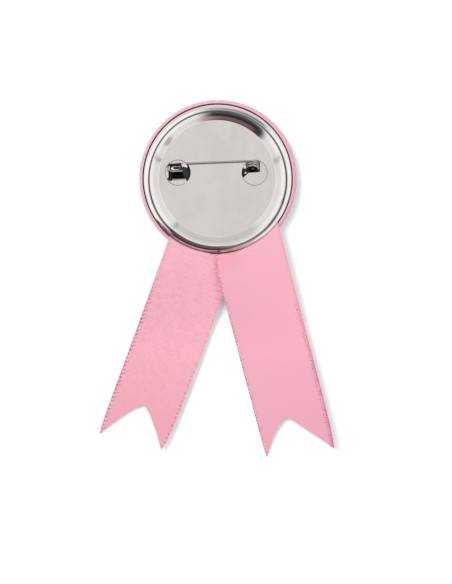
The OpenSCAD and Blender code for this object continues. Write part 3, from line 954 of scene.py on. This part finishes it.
def makeShell(v):
    ring = v["across"] / 2 - v["edge"]
    edgeHeight = v["dome"] - math.sqrt((v["dome"] - v["edge"]) ** 2 - ring ** 2)
    edgeStart = math.degrees(math.asin(ring / (v["dome"] - v["edge"]))) - 90
    vertices, faces = [], []

    def section(angle):
        seam = v["seamAcross"] / 2 + roundAbout(math.degrees(angle), *v["pushedOut"])
        cut = -v["left"] * math.cos(angle) + math.sqrt(seam ** 2 - (v["left"] * math.sin(angle)) ** 2)
        outerEnd = math.degrees(math.acos((cut + v["lip"] - ring) / v["edge"]))
        innerEnd = math.degrees(math.acos((cut - ring) / (v["edge"] - v["thick"])))
        outer = arcPoints((0, v["dome"]), v["dome"], -90, edgeStart, v["domeSteps"])[1:-1]
        outer += arcPoints((ring, edgeHeight), v["edge"], edgeStart, outerEnd, v["edgeSteps"])
        inner = arcPoints((ring, edgeHeight), v["edge"] - v["thick"], innerEnd, edgeStart, v["edgeSteps"])
        inner += arcPoints((0, v["dome"]), v["dome"] - v["thick"], edgeStart, -90, v["domeSteps"])[1:-1]
        lipTop = (cut, outer[-1][1] - v["lip"])
        return outer + [lipTop] + inner

    for i in range(v["segments"]):
        angle = math.tau * i / v["segments"]
        vertices += [(r * math.cos(angle), r * math.sin(angle), z) for r, z in section(angle)]
    count = len(section(0))
    front, back = len(vertices), len(vertices) + 1
    vertices += [(0, 0, 0), (0, 0, v["thick"])]
    for i in range(v["segments"]):
        a, b = i * count, (i + 1) % v["segments"] * count
        faces += [(a + k, b + k, b + k + 1, a + k + 1) for k in range(count - 1)]
        faces += [(front, b, a), (a + count - 1, b + count - 1, back)]
    shell = weld(makePiece("shellCover", vertices, faces), outwards=True)
    return dress(smoothUpTo(shell, v["smooth"]), pinkFilm, "badge", "shell")


shellCover = makeShell(shellValues)
print("shell made:", len(shellCover.data.polygons), "faces")


# Pin base: the strip behind the plate, a disc in each window, the catch and the hinge post

baseValues = {
    "left": (-14.8, 2.15), "right": (13.4, 2.15), "disc": 4.57, "discTop": 4.62, "skirtFoot": 3.9,
    "stripTop": 4.25, "pad": 6.0, "band": 4.0, "opening": 4.42, "thick": 0.35, "bevel": 0.04,
    # The opening round the catch, and the cut that the wire's coil stands in
    "cutLeft": -18.75, "cutLow": -0.85, "cutHigh": 5.3, "cutRight": -8.8,
    "hingeEdge": 15.35, "hingeCut": ((9.2, 0.35), (11.2, 2.1), (15.35, 2.45)),
    "hingeNotch": ((8.0, 0.2), (8.0, 5.9)),
    "stepDegrees": 3, "leastSteps": 8, "stripSteps": 60, "bentSteps": 8, "bendSteps": 6,
    "smooth": 30, "bentSmooth": 45, "bevelFrom": 30,
    # The lip at the catch's left: start, bend, height, length, slope, width and the bend's radius
    "lip": (-19.0, -18.6, 4.4, 1.1, 36.0, 3.9, 0.25),
    # The lug beside the coil: start, foot's length, end, height, middle, width, slope, bend and dish
    "lug": (9.2, 0.25, 10.35, 4.17, 4.45, 1.5, 28.0, 0.3, 0.12),
}


def dressBase(obj, degrees, material):
    return dress(smoothUpTo(obj, degrees), material, "badge", "pin_base")


# A plate of one outline, with its upper and lower rims eased
def makePrism(name, outline, top, thick, bevel):
    mesh = bmesh.new()
    mesh.faces.new([mesh.verts.new((x * mm, y * mm, top * mm)) for x, y in outline])
    addDepth(mesh, thick)
    if bevel:
        rims = [e for e in mesh.edges if abs(e.verts[0].co.z - e.verts[1].co.z) < 1e-9]
        bmesh.ops.bevel(mesh, geom=rims, offset=bevel * mm, segments=3, profile=0.5, affect="EDGES")
    return fromBmesh(name, mesh)


# A cap of the disc between two directions, and the skirt under its round edge
def discPart(name, centre, v, start, stop, corners=()):
    steps = max(v["leastSteps"], int(abs(stop - start) / v["stepDegrees"]))
    arc = arcPoints(centre, v["disc"], start, stop, steps)
    inner = arcPoints(centre, v["disc"] - v["thick"], stop, start, steps)
    plate = makePrism(name, arc + list(corners), v["discTop"], v["thick"], v["bevel"])
    skirtTop, skirtDeep = v["discTop"] - v["thick"], v["stripTop"] - v["skirtFoot"]
    return [plate, makePrism(name + "Skirt", arc + inner, skirtTop, skirtDeep, 0)]


def makeDiscs(v):
    c = v["left"]
    low = math.degrees(math.asin((v["cutLow"] - c[1]) / v["disc"]))
    high = math.degrees(math.asin((v["cutHigh"] - c[1]) / v["disc"]))
    side = math.degrees(math.acos((c[0] - v["cutLeft"]) / v["disc"]))
    parts = discPart("topCap", c, v, high, 180 - high)
    parts += discPart("lowCap", c, v, 180 - low, 360 + low)
    parts += discPart("leftCap", c, v, 180 - side, 180 + side)
    catchDisc = joinPieces("catchDisc", parts)
    c = v["right"]
    start = math.degrees(math.acos((v["hingeEdge"] - c[0]) / v["disc"]))
    x, y = v["hingeCut"][0]
    stop = math.degrees(math.atan2(y - c[1], x - c[0]))
    hingeDisc = joinPieces("hingeDisc", discPart("hingeDisc", c, v, start, stop, v["hingeCut"]))
    return [dressBase(disc, v["smooth"], baseTin) for disc in (catchDisc, hingeDisc)]


def makeStrip(v):
    left, right, r, steps = v["left"], v["right"], v["opening"], v["stripSteps"]
    turn = math.degrees(math.asin(v["band"] / v["pad"]))
    outline = arcPoints(left, v["pad"], turn, 360 - turn, steps)
    outline += arcPoints(right, v["pad"], turn - 180, 180 - turn, steps)
    low, high = (math.degrees(math.asin((v[k] - left[1]) / r)) for k in ("cutLow", "cutHigh"))
    leftHole = arcPoints(left, r, high, 360 + low, steps)
    leftHole += [(v["cutRight"], v["cutLow"]), (v["cutRight"], v["cutHigh"])]
    low, high = (180 - math.degrees(math.asin((p[1] - right[1]) / r)) for p in v["hingeNotch"])
    rightHole = arcPoints(right, r, high, low - 360, steps) + list(v["hingeNotch"])
    mesh = bmesh.new()
    fillRings(mesh, (outline, leftHole, rightHole), v["stripTop"])
    addDepth(mesh, v["thick"])
    return dressBase(fromBmesh("baseStrip", mesh), v["smooth"], baseTin)


catchDisc, hingeDisc = makeDiscs(baseValues)
baseStrip = makeStrip(baseValues)


# The catch is one sheet: a tongue that dips and rises behind the wire, a hood closed at its left, and a
# flare. Along the wire and across it are measured from where it leaves its coil, and up from the floor.

catchValues = {
    "wireStart": (12.65, 6.45), "slant": 2.4, "from": -29.55, "to": -25.9, "corner": 1.25,
    "back": (-2.9, 6.95), "roofTilt": 18.0, "depth": 2.85, "bend": 0.6, "wall": 1.38,
    "lipDrop": (0.16, 0.25), "lipBend": 0.25,
    # The tongue's side view: across, up and each bend's radius
    "lower": (
        (-8.1, 4.02, 0), (-7.25, 4.02, 0.15), (-7.0, 4.44, 0.2), (-6.15, 4.44, 0.4), (-2.4365, 2.7, 0.6),
        (-2.4365, 5.4, 0.4)),
    "edgeSteps": (5, 10), "edgeEnd": 2.5,      # along the flare's inner edge, to the corner and past it
    "spanSteps": 24, "cornerSteps": 8, "rimSteps": 7, "roofSteps": 5, "lowerSteps": 6, "flareSteps": 8,
    "flareOuter": ((1.1, 0.6), (1.6, 1.1), (1.95, 1.8), (1.45, 2.6), (0.6, 3.2)),
    "flareRise": 0.38, "flareRound": 0.3, "twist": 0.3,
    "thick": 0.35, "bevel": (0.05, 50),        # its width, and the angle above which an edge is eased
    # Middle along and up, half sizes, depth, and its slope's share of the size
    "dish": (-28.1, 1.45, 2.0, 0.95, 0.1, 0.5), "dent": (-26.5, 1.9, 0.7, 0.7, 0.06, 0.9),
    # How much wider the tongue is at its left and right, and over what ways it narrows at its top and foot
    "tongueWider": (0.3, 1.2), "tongueNarrows": (-5.6, -3.6), "tongueFoot": (-7.3, -7.0),
    "smooth": 45,
}


# A smooth curve through a few points, from share 0 to 1
def throughPoints(points, share):
    place = share * (len(points) - 1)
    i = min(int(place), len(points) - 2)
    t = place - i
    a, b, c, d = (Vector(points[min(max(k, 0), len(points) - 1)]) for k in range(i - 1, i + 3))
    square, cube = 2 * a - 5 * b + 4 * c - d, 3 * b - a - 3 * c + d
    return 0.5 * (2 * b + (c - a) * t + square * t * t + cube * t ** 3)


def makeCatch(v):
    roofTilt, slant = math.radians(v["roofTilt"]), math.radians(v["slant"])
    vertices, faces = [], []

    def addGrid(rows):
        faces.extend(gridFaces(len(rows), len(rows[0]), len(vertices)))
        vertices.extend(p for row in rows for p in row)

    def alongWire(x, y, z):
        return (v["wireStart"][0] + x * math.cos(slant) - y * math.sin(slant),
                v["wireStart"][1] + x * math.sin(slant) + y * math.cos(slant), z)

    def onRoof(a, b, h):
        for middle, up, halfLong, halfTall, depth, slope in (v["dish"], v["dent"]):
            away = math.hypot((a - middle) / halfLong, (b - up) / halfTall)
            h -= depth * ramp((1.0 - away) / slope)
        return alongWire(a, v["back"][0] + b * math.cos(roofTilt) - h * math.sin(roofTilt),
                         v["back"][1] + b * math.sin(roofTilt) + h * math.cos(roofTilt))

    corner, bend = v["corner"], v["bend"]
    first, second = v["edgeSteps"]
    edge = [corner - blendValue(corner - bend, 0.0, i / first) for i in range(first)]
    edge += [blendValue(corner, v["edgeEnd"], i / second) for i in range(second + 1)]
    rim = [(corner - b, 0.0) for b in edge[first::-1]]
    rim += arcPoints((corner - bend, -bend), bend, 90, 0, v["rimSteps"])[1:] + [(corner, -v["wall"])]
    tip = (v["depth"] + v["lipDrop"][0], -v["lipDrop"][1])
    roof = [(b, 0.0) for b in edge[first:-1]]
    roof += roundedPath([(v["edgeEnd"], 0, 0), (v["depth"], 0, v["lipBend"]), (*tip, 0)], v["roofSteps"])
    spans = [blendValue(v["from"], v["to"], i / v["spanSteps"]) for i in range(v["spanSteps"] + 1)]
    addGrid([[onRoof(a, corner - r, h) for r, h in rim] for a in spans])
    addGrid([[onRoof(a, b, h) for b, h in roof] for a in spans])

    def onCorner(turn, r, h):
        return onRoof(v["from"] - r * math.sin(turn), corner - r * math.cos(turn), h)

    turns = [math.pi / 2 * i / v["cornerSteps"] for i in range(v["cornerSteps"] + 1)]
    addGrid([[onCorner(turn, r, h) for r, h in rim] for turn in turns])
    addGrid([[onRoof(v["from"] - r, b, h + drop) for r, h in rim] for b, drop in roof])

    wallEnd = (v["back"][0] + v["wall"] * math.sin(roofTilt), v["back"][1] - v["wall"] * math.cos(roofTilt))
    lower = roundedPath([*v["lower"], (*wallEnd, 0)], v["lowerSteps"])

    def widened(a, y):
        wide, narrow = v["tongueNarrows"]
        foot, full = v["tongueFoot"]
        side = (a - v["from"]) / (v["to"] - v["from"])
        share = ramp((narrow - y) / (narrow - wide)) * ramp((y - foot) / (full - foot))
        return a + blendValue(-v["tongueWider"][0], v["tongueWider"][1], side) * share

    addGrid([[alongWire(widened(a, y), y, z) for y, z in lower] for a in spans])

    def onFlare(share, k):
        x, y = throughPoints(v["flareOuter"], k / (len(edge) - 1))
        out, up = x * share, blendValue(edge[k], y, share)
        rise = v["flareRise"] * out * out / (out + v["flareRound"]) - v["twist"] * share * up
        return onRoof(v["to"] + out, up, rise)

    shares = [i / v["flareSteps"] for i in range(v["flareSteps"] + 1)]
    addGrid([[onFlare(share, k) for k in range(len(edge))] for share in shares])
    hook = weld(makePiece("catchHook", vertices, faces), outwards=True, distance=weldAt["drawnSheet"])
    thicken(hook, v["thick"], even=True)
    easeEdges(hook, *v["bevel"])
    hook = weld(plainMesh(hook), outwards=True, distance=weldAt["thickSheet"])
    return dressBase(hook, v["smooth"], hoodTin)


# A narrow strip of sheet: its side view, as (across, up) pairs, and the dish that lowers its long edges
def bentStrip(name, line, middle, wide, dish, v, eased=False):
    ys = [middle - wide / 2 + wide * k / v["bentSteps"] for k in range(v["bentSteps"] + 1)]
    rows = [(x, y, z - dish * ((y - middle) / wide * 2) ** 2) for x, z in line for y in ys]
    strip = makePiece(name, rows, gridFaces(len(line), len(ys)))
    thicken(strip, v["thick"])
    if eased:
        easeEdges(strip, v["bevel"], v["bevelFrom"])
    strip = weld(plainMesh(strip), outwards=True, distance=weldAt["thickSheet"])
    return dressBase(strip, v["bentSmooth"], baseTin)


def makeLeftLip(v):
    start, turn, height, long, slope, wide, bend = v["lip"]
    a = math.radians(slope)
    end = (turn + long * math.cos(a), height - long * math.sin(a), 0)
    line = roundedPath([(start, height, 0), (turn, height, bend), end], v["bendSteps"])
    return bentStrip("catchLip", line, v["left"][1], wide, 0.0, v, eased=True)


# A small lug stands up from the strip, at the coil's left
def makeLug(v):
    start, foot, end, height, middle, wide, slope, bend, dish = v["lug"]
    rise = (end - start) * math.tan(math.radians(slope))
    rows = [(start, height, 0), (start + foot, height, bend), (end, height + rise, 0)]
    return bentStrip("hingeLug", roundedPath(rows, v["bendSteps"]), middle, wide, dish, v)


catchHook = makeCatch(catchValues)
catchLip = makeLeftLip(baseValues)
hingeLug = makeLug(baseValues)
print("discs, strip, catch, lip and lug made")


# Pin: one wire, swept along its stem, its coil and its short end

wireShape = {
    "thick": 0.8, "coil": (12.65, 6.45), "height": 6.1, "slant": 2.4, "tilt": 25.0,
    "coilRadius": 2.0, "turns": 2.5, "pitch": 0.95, "stem": 30.3,
    "point": 2.2, "pointThick": 0.14, "pointBow": 0.7,
    "stations": (0, 0.1, 0.3, 0.6, 1.0, 1.4, 1.8, 2.2, 8, 16, 24),    # along the stem from its tip
    "bendOut": (-1.6, -0.05, -0.05),           # where the short end leaves for, from the coil's last turn
    "shortEnd": ((-2.8, -3, -1.7), (-2.72, -3.3, -0.9)),
    "endSteps": 16, "stepsPerTurn": 48, "sides": 24, "smooth": 50,
}


# From the coil's own frame: X along the stem, Y along the coil's axis, Z up to the stem
def atCoil(v, point):
    slant, tilt, r = math.radians(v["slant"]), math.radians(v["tilt"]), v["coilRadius"]
    axisX = Vector((math.cos(slant), math.sin(slant), 0))
    axisY = Vector((-math.sin(slant) * math.cos(tilt), math.cos(slant) * math.cos(tilt), -math.sin(tilt)))
    centre = Vector((v["coil"][0], v["coil"][1] - r * math.sin(tilt), v["height"] - r * math.cos(tilt)))
    return centre + point[0] * axisX + point[1] * axisY + point[2] * axisX.cross(axisY)


def bezier(points, t):
    weights = ((1 - t) ** 3, 3 * (1 - t) ** 2 * t, 3 * (1 - t) * t * t, t ** 3)
    return sum((w * Vector(p) for w, p in zip(weights, points)), Vector((0, 0, 0)))


def makeWireTree():
    tree, given, result = startGroup("sweepWire", "GeometryNodeTree", [
        ("Geometry", "Geometry", None), ("Thick", "Float", 0.001), ("Point Thick", "Float", 0.0002),
        ("Point Length", "Float", 0.002), ("Point Bow", "Float", 0.7), ("Sides", "Int", 16),
        ("Material", "Material", None)], [("Geometry", "Geometry")])
    line = addNode(tree, "GeometryNodeMeshToCurve", {"Mesh": given["Geometry"]}).outputs[0]
    reach = addNode(tree, "GeometryNodeSplineParameter").outputs["Length"]
    share = maths(tree, "DIVIDE", reach, given["Point Length"], clamp=True)
    bowed = maths(tree, "POWER", share, given["Point Bow"])
    grown = times(tree, bowed, maths(tree, "SUBTRACT", given["Thick"], given["Point Thick"]))
    thick = maths(tree, "ADD", given["Point Thick"], grown)
    circle = addNode(tree, "GeometryNodeCurvePrimitiveCircle", {
        "Resolution": given["Sides"], "Radius": 0.5}).outputs[0]
    swept = addNode(tree, "GeometryNodeCurveToMesh", {
        "Curve": line, "Profile Curve": circle, "Scale": thick, "Fill Caps": True})
    return endTree(tree, swept.outputs[0], given["Material"], result)


def makePin(v):
    r, turnLength = v["coilRadius"], v["turns"] * v["pitch"]
    points = [(-v["stem"] + d, 0, r) for d in v["stations"]]
    for i in range(int(v["turns"] * v["stepsPerTurn"]) + 1):
        share = i / v["stepsPerTurn"]
        angle = math.tau * share
        points.append((r * math.sin(angle), -v["pitch"] * share, r * math.cos(angle)))
    x, y, z = v["bendOut"]
    endPoints = ((0, -turnLength, -r), (x, y - turnLength, z - r), *v["shortEnd"])
    points += [tuple(bezier(endPoints, i / v["endSteps"])) for i in range(1, v["endSteps"] + 1)]
    wire = makePiece("pinWire", [tuple(atCoil(v, p)) for p in points], edges=lineEdges(points))
    runNodes(wire, makeWireTree(), {
        "Thick": v["thick"] * mm, "Point Thick": v["pointThick"] * mm, "Point Length": v["point"] * mm,
        "Point Bow": v["pointBow"], "Sides": v["sides"], "Material": steelWire})
    wire = smoothUpTo(weld(wire, outwards=True), v["smooth"])
    return dress(wire, steelWire, "pin", "pin")


postValues = {
    "outer": 1.3, "inner": 0.95, "ends": (0.65, -3.1), "edge": 0.1, "segments": 64,
    "ear": (1.0, 2.1, -2.9, 0.3),        # half its width, its drop, where it starts and its thickness
    "earSteps": 24, "earBevel": 0.05, "smooth": 50,
}


# Lays an upright piece along the coil's axis, in the coil's place
def intoCoil(obj, shape):
    for vertex in obj.data.vertices:
        x, z, y = vertex.co / mm
        vertex.co = atCoil(shape, (x, y, z)) * mm
    return weld(obj, outwards=True)


def makeHingePost(v, shape):
    (top, foot), e = v["ends"], v["edge"]
    loop = [(v["inner"], foot + e), (v["inner"] + e, foot), (v["outer"] - e, foot), (v["outer"], foot + e),
            (v["outer"], top - e), (v["outer"] - e, top), (v["inner"] + e, top), (v["inner"], top - e)]
    post = turnProfile("hingePost", loop + loop[:1], (0, 0), baseTin, v["segments"])
    half, drop, start, thick = v["ear"]
    outline = [(-half, -drop), (half, -drop), (half, 0.0)]
    outline += arcPoints((0, 0), v["inner"], 0, -180, v["earSteps"]) + [(-half, 0.0)]
    ear = makePrism("ear", outline, start, thick, v["earBevel"])
    placed = [intoCoil(piece, shape) for piece in (post, ear)]
    return dressBase(joinPieces("hingePost", placed), v["smooth"], postTin)


hingePost = makeHingePost(postValues, wireShape)
pinWire = makePin(wireShape)
print("pin made:", len(pinWire.data.polygons), "faces")


# Ribbon tails: thin sheets that start in the seam and end in a swallowtail cut

# Reach is measured down the tail from the badge's middle, and an offset across it from the tail's own line.
# An edge is its offset at the start and at the tip, how far it bulges between them, and how far it bends in
# at the very tip. A notch is its reach and offset, and the bows are the powers of its two sides' curves.
# Gather is how far the left edge is drawn in at the rim, and over what way that fades.
tailValues = {
    "left": {
        "angle": -20.2, "edges": ((-9.4, -9.2, 0.1, 0.6), (15.9, 15.9, 0.65, -1.1)),
        "tips": (103.4, 101.1), "notch": (87.6, 2.95), "bows": (1.3, 1.3), "over": 0.0,
        "rise": (0.4, 2.9), "tuckEnds": -2.6, "gather": (0.0, 20.0),
    },
    "right": {
        "angle": 14.4, "edges": ((-8.95, -8.37, 0.0, 0.25), (17.2, 17.4, 0.0, -0.8)),
        "tips": (103.8, 106.6), "notch": (90.95, 2.63), "bows": (1.5, 1.02), "over": 0.38,
        "rise": (0.7, 5.6), "tuckEnds": 60.0, "gather": (1.2, 8.0),
    },
    "thick": 0.3, "start": 18.0, "gatherFrom": 27.0, "tipPower": 20,
    # Where a tail leaves the seam: its reach, how much more right of tuckEnds, and the foot's height
    "tuckAround": 27.5, "tuckShift": 0.22, "tuckFade": 0.6, "tuckLimit": 40.0, "tuckFoot": 3.9,
    "bend": (0.7, 4.6),                        # how far out and from what height a tail bends over
    "seamGap": (0.25, -84.0, 6.0, 20.0),       # the wider gap where the two tails meet
    "seamBelow": 0.35,                         # how far above the bend's foot the seam's shade reaches
    "edgeTop": 5.42, "knee": 29.6, "flat": 64.0,    # height at the rim, and where it falls
    "crossEnd": 44.0, "crossFade": 20.0,       # where a tail that lies over the other comes down
    "riseFrom": 30.0, "riseOver": 42.0,        # where the right edge stands up
    "droop": (0.25, 0.1), "droopPower": 5, "droopFrom": 34.0, "droopOver": 30.0,
    "footSteps": 3, "bendSteps": 12, "columns": 48, "rows": 110, "smooth": 60,
    "endRounds": 12, "seamRounds": 40,         # rounds of the search for a line's end, and for the seam
}


def tailPoint(t, reach, offset):
    a = math.radians(t["angle"])
    return (reach * math.sin(a) + offset * math.cos(a), -reach * math.cos(a) + offset * math.sin(a))


def edgeOffset(v, edge, share):
    top, low, bulge, tipIn = edge
    return blendValue(top, low, share) + bulge * math.sin(math.pi * share) + tipIn * share ** v["tipPower"]


def cutReach(v, t, offset):
    reach, middle = t["notch"]
    side = 0 if offset < middle else 1
    last = edgeOffset(v, t["edges"][side], 1.0)
    share = min(max((offset - middle) / (last - middle), 0.0), 1.0)
    return reach + (t["tips"][side] - reach) * share ** t["bows"][side]


def tailHeight(v, t, down, across):
    under = v["edgeTop"] * (1 - ramp((down - v["knee"]) / (v["flat"] - v["knee"])))
    over = t["over"] * (1 - ramp((down - v["crossEnd"]) / v["crossFade"]))
    lift = blendValue(*t["rise"], (across + 1) / 2) * ramp((down - v["riseFrom"]) / v["riseOver"])
    droop = v["droop"][0 if across < 0 else 1] * abs(across) ** v["droopPower"]
    droop *= ramp((down - v["droopFrom"]) / v["droopOver"])
    return under + over + lift - droop + v["thick"] / 2


# One line down the tail, at share s of its width: its place at a reach, where it leaves the seam and where
# it ends
def tailColumn(v, t, s):
    start, left = v["start"], plateValues["left"]
    drawnIn, until = t["gather"]

    def offsetAt(reach):
        ends = zip(t["edges"], t["tips"])
        return blendValue(*(edgeOffset(v, edge, (reach - start) / (tip - start)) for edge, tip in ends), s)

    def place(reach):
        gathered = drawnIn * (1 - s) * (1 - ramp((reach - v["gatherFrom"]) / until))
        return tailPoint(t, reach, offsetAt(reach) + gathered)

    def isTucked(reach):
        x, y = place(reach)
        hiddenPart = ramp((x - t["tuckEnds"] + v["tuckFade"]) / v["tuckFade"])
        around = v["tuckAround"] + v["tuckShift"] * hiddenPart
        around += roundAbout(math.degrees(math.atan2(y, x + left)), *v["seamGap"])
        return math.hypot(x + left, y) < around

    low = blendValue(*t["tips"], s)
    for _ in range(v["endRounds"]):
        low = (low + cutReach(v, t, offsetAt(low))) / 2
    near, far = start, v["tuckLimit"]
    for _ in range(v["seamRounds"]):
        middle = (near + far) / 2
        near, far = (middle, far) if isTucked(middle) else (near, middle)
    return place, near, low


def makeTail(name, v, side, material, node):
    vertices, uvs, seamWays = [], [], []
    t = v[side]
    out, foot = v["bend"]
    wide = t["edges"][1][0] - t["edges"][0][0]
    for i in range(v["columns"] + 1):
        s = i / v["columns"]
        place, near, low = tailColumn(v, t, s)
        across = 2 * s - 1
        level = tailHeight(v, t, -place(near)[1], across)
        path = [(near, blendValue(v["tuckFoot"], foot, k / v["footSteps"])) for k in range(v["footSteps"])]
        for k in range(v["bendSteps"] + 1):
            turn = math.pi / 2 * k / v["bendSteps"]
            path.append((near + out * (1 - math.cos(turn)), foot + (level - foot) * math.sin(turn)))
        for k in range(1, v["rows"] + 1):
            reach = blendValue(near + out, low, k / v["rows"])
            path.append((reach, tailHeight(v, t, -place(reach)[1], across)))
        for reach, z in path:
            vertices.append((*place(reach), z))
            uvs.append((s * wide, reach - v["tuckAround"]))
            seamWays.append(reach - near + min(0.0, z - foot - v["seamBelow"]))
    tail = makePiece(name, vertices, gridFaces(v["columns"] + 1, len(path)))
    layer = tail.data.uv_layers.new(name="weave")
    for loop in tail.data.loops:
        layer.data[loop.index].uv = uvs[loop.vertex_index]
    tail.data.attributes.new("fromSeam", "FLOAT", "POINT").data.foreach_set("value", seamWays)
    tail.data.materials.append(material)
    thicken(tail, v["thick"])
    return dress(smoothUpTo(plainMesh(tail), v["smooth"]), material, "badge", node)


leftTail = makeTail("leftTail", tailValues, "left", leftSatin, "ribbon_left")
rightTail = makeTail("rightTail", tailValues, "right", rightSatin, "ribbon_right")
print("tails made:", len(leftTail.data.polygons) + len(rightTail.data.polygons), "faces")


# Edge stitches: short threads at a steady pitch along an edge of a tail

stitchValues = {
    # Inset is how far in from the edge, and from is the reach where the stitches start. Turns are radians.
    "left": (
        {"side": 0, "inset": 0.7, "pitch": 1.54, "long": 1.3, "wide": 0.5, "turn": 1.0, "from": 30.0,
         "thread": "pale"},
        {"side": 1, "inset": 0.5, "pitch": 1.6, "long": 0.9, "wide": 0.5, "turn": -1.0, "from": 46.0,
         "thread": "pale"},
    ),
    "right": (
        {"side": 0, "inset": 0.4, "pitch": 1.2, "long": 0.8, "wide": 0.45, "turn": 1.1, "from": 30.0,
         "thread": "pale"},
        {"side": 1, "inset": 1.1, "pitch": 0.98, "long": 0.75, "wide": 0.36, "turn": -1.2, "from": 52.0,
         "thread": "deep"},
    ),
    "raise": 0.03, "high": 0.14, "endGap": 0.4, "lineSteps": 120, "seed": 7,
    "turnSpread": (-0.15, 0.15), "sizeSpread": (0.55, 1.2), "segments": 8, "rings": 6,
}


def randomNumber(tree, low, high, seed):
    node = addNode(tree, "FunctionNodeRandomValue", {"Seed": seed}, data_type="FLOAT")
    for socket in node.inputs:
        if socket.enabled and socket.name in ("Min", "Max"):
            socket.default_value = low if socket.name == "Min" else high
    return [socket for socket in node.outputs if socket.enabled][0]


def makeStitchTree(v):
    tree, given, result = startGroup("stitchRow", "GeometryNodeTree", [
        ("Geometry", "Geometry", None), ("Pitch", "Float", 0.001), ("Size", "Vector", None),
        ("Turn", "Float", 0.0), ("Seed", "Int", 0), ("Material", "Material", None)],
        [("Geometry", "Geometry")])
    line = addNode(tree, "GeometryNodeMeshToCurve", {"Mesh": given["Geometry"]}).outputs[0]
    spaced = addNode(tree, "GeometryNodeResampleCurve", {
        "Curve": line, "Length": given["Pitch"]}, mode="LENGTH")
    stitch = addNode(tree, "GeometryNodeMeshUVSphere", {
        "Segments": v["segments"], "Rings": v["rings"], "Radius": 0.5})
    shaped = addNode(tree, "GeometryNodeTransform", {"Geometry": stitch.outputs[0], "Scale": given["Size"]})
    tangent = addNode(tree, "GeometryNodeInputTangent").outputs[0]
    along = addNode(tree, "FunctionNodeAlignRotationToVector", {"Vector": tangent}, axis="X").outputs[0]
    angle = maths(tree, "ADD", given["Turn"], randomNumber(tree, *v["turnSpread"], given["Seed"]))
    spin = addNode(tree, "FunctionNodeAxisAngleToRotation", {"Axis": (0, 0, 1), "Angle": angle}).outputs[0]
    turned = addNode(tree, "FunctionNodeRotateRotation", {"Rotation": along, "Rotate By": spin},
                     rotation_space="LOCAL").outputs[0]
    placed = addNode(tree, "GeometryNodeInstanceOnPoints", {
        "Points": spaced.outputs[0], "Instance": shaped.outputs[0], "Rotation": turned,
        "Scale": randomNumber(tree, *v["sizeSpread"], given["Seed"])})
    return endTree(tree, placed.outputs[0], given["Material"], result)


stitchRow = makeStitchTree(stitchValues)


def makeStitches(name, v, t, row, seed, node):
    share = row["inset"] / (t["edges"][1][0] - t["edges"][0][0])
    s = share if row["side"] == 0 else 1 - share
    place, near, low = tailColumn(tailValues, t, s)
    top = v["raise"] + tailValues["thick"] / 2
    points = []
    for k in range(v["lineSteps"] + 1):
        x, y = place(blendValue(max(near, row["from"]), low - v["endGap"], k / v["lineSteps"]))
        points.append((x, y, tailHeight(tailValues, t, -y, 2 * s - 1) + top))
    stitches = makePiece(name, points, edges=lineEdges(points))
    thread = threads[row["thread"]]
    runNodes(stitches, stitchRow, {
        "Pitch": row["pitch"] * mm, "Size": (row["long"] * mm, row["wide"] * mm, v["high"] * mm),
        "Turn": row["turn"], "Seed": seed, "Material": thread})
    return dress(stitches, thread, "badge", node)


def makeBothRows(v, side, node):
    return [makeStitches(side + name, v, tailValues[side], row, v["seed"] + i, node)
            for i, (name, row) in enumerate(zip(("InnerStitches", "OuterStitches"), v[side]))]


leftRows = makeBothRows(stitchValues, "left", "ribbon_left")
rightRows = makeBothRows(stitchValues, "right", "ribbon_right")
print("stitches made:", sum(len(r.data.polygons) for r in leftRows + rightRows), "faces")
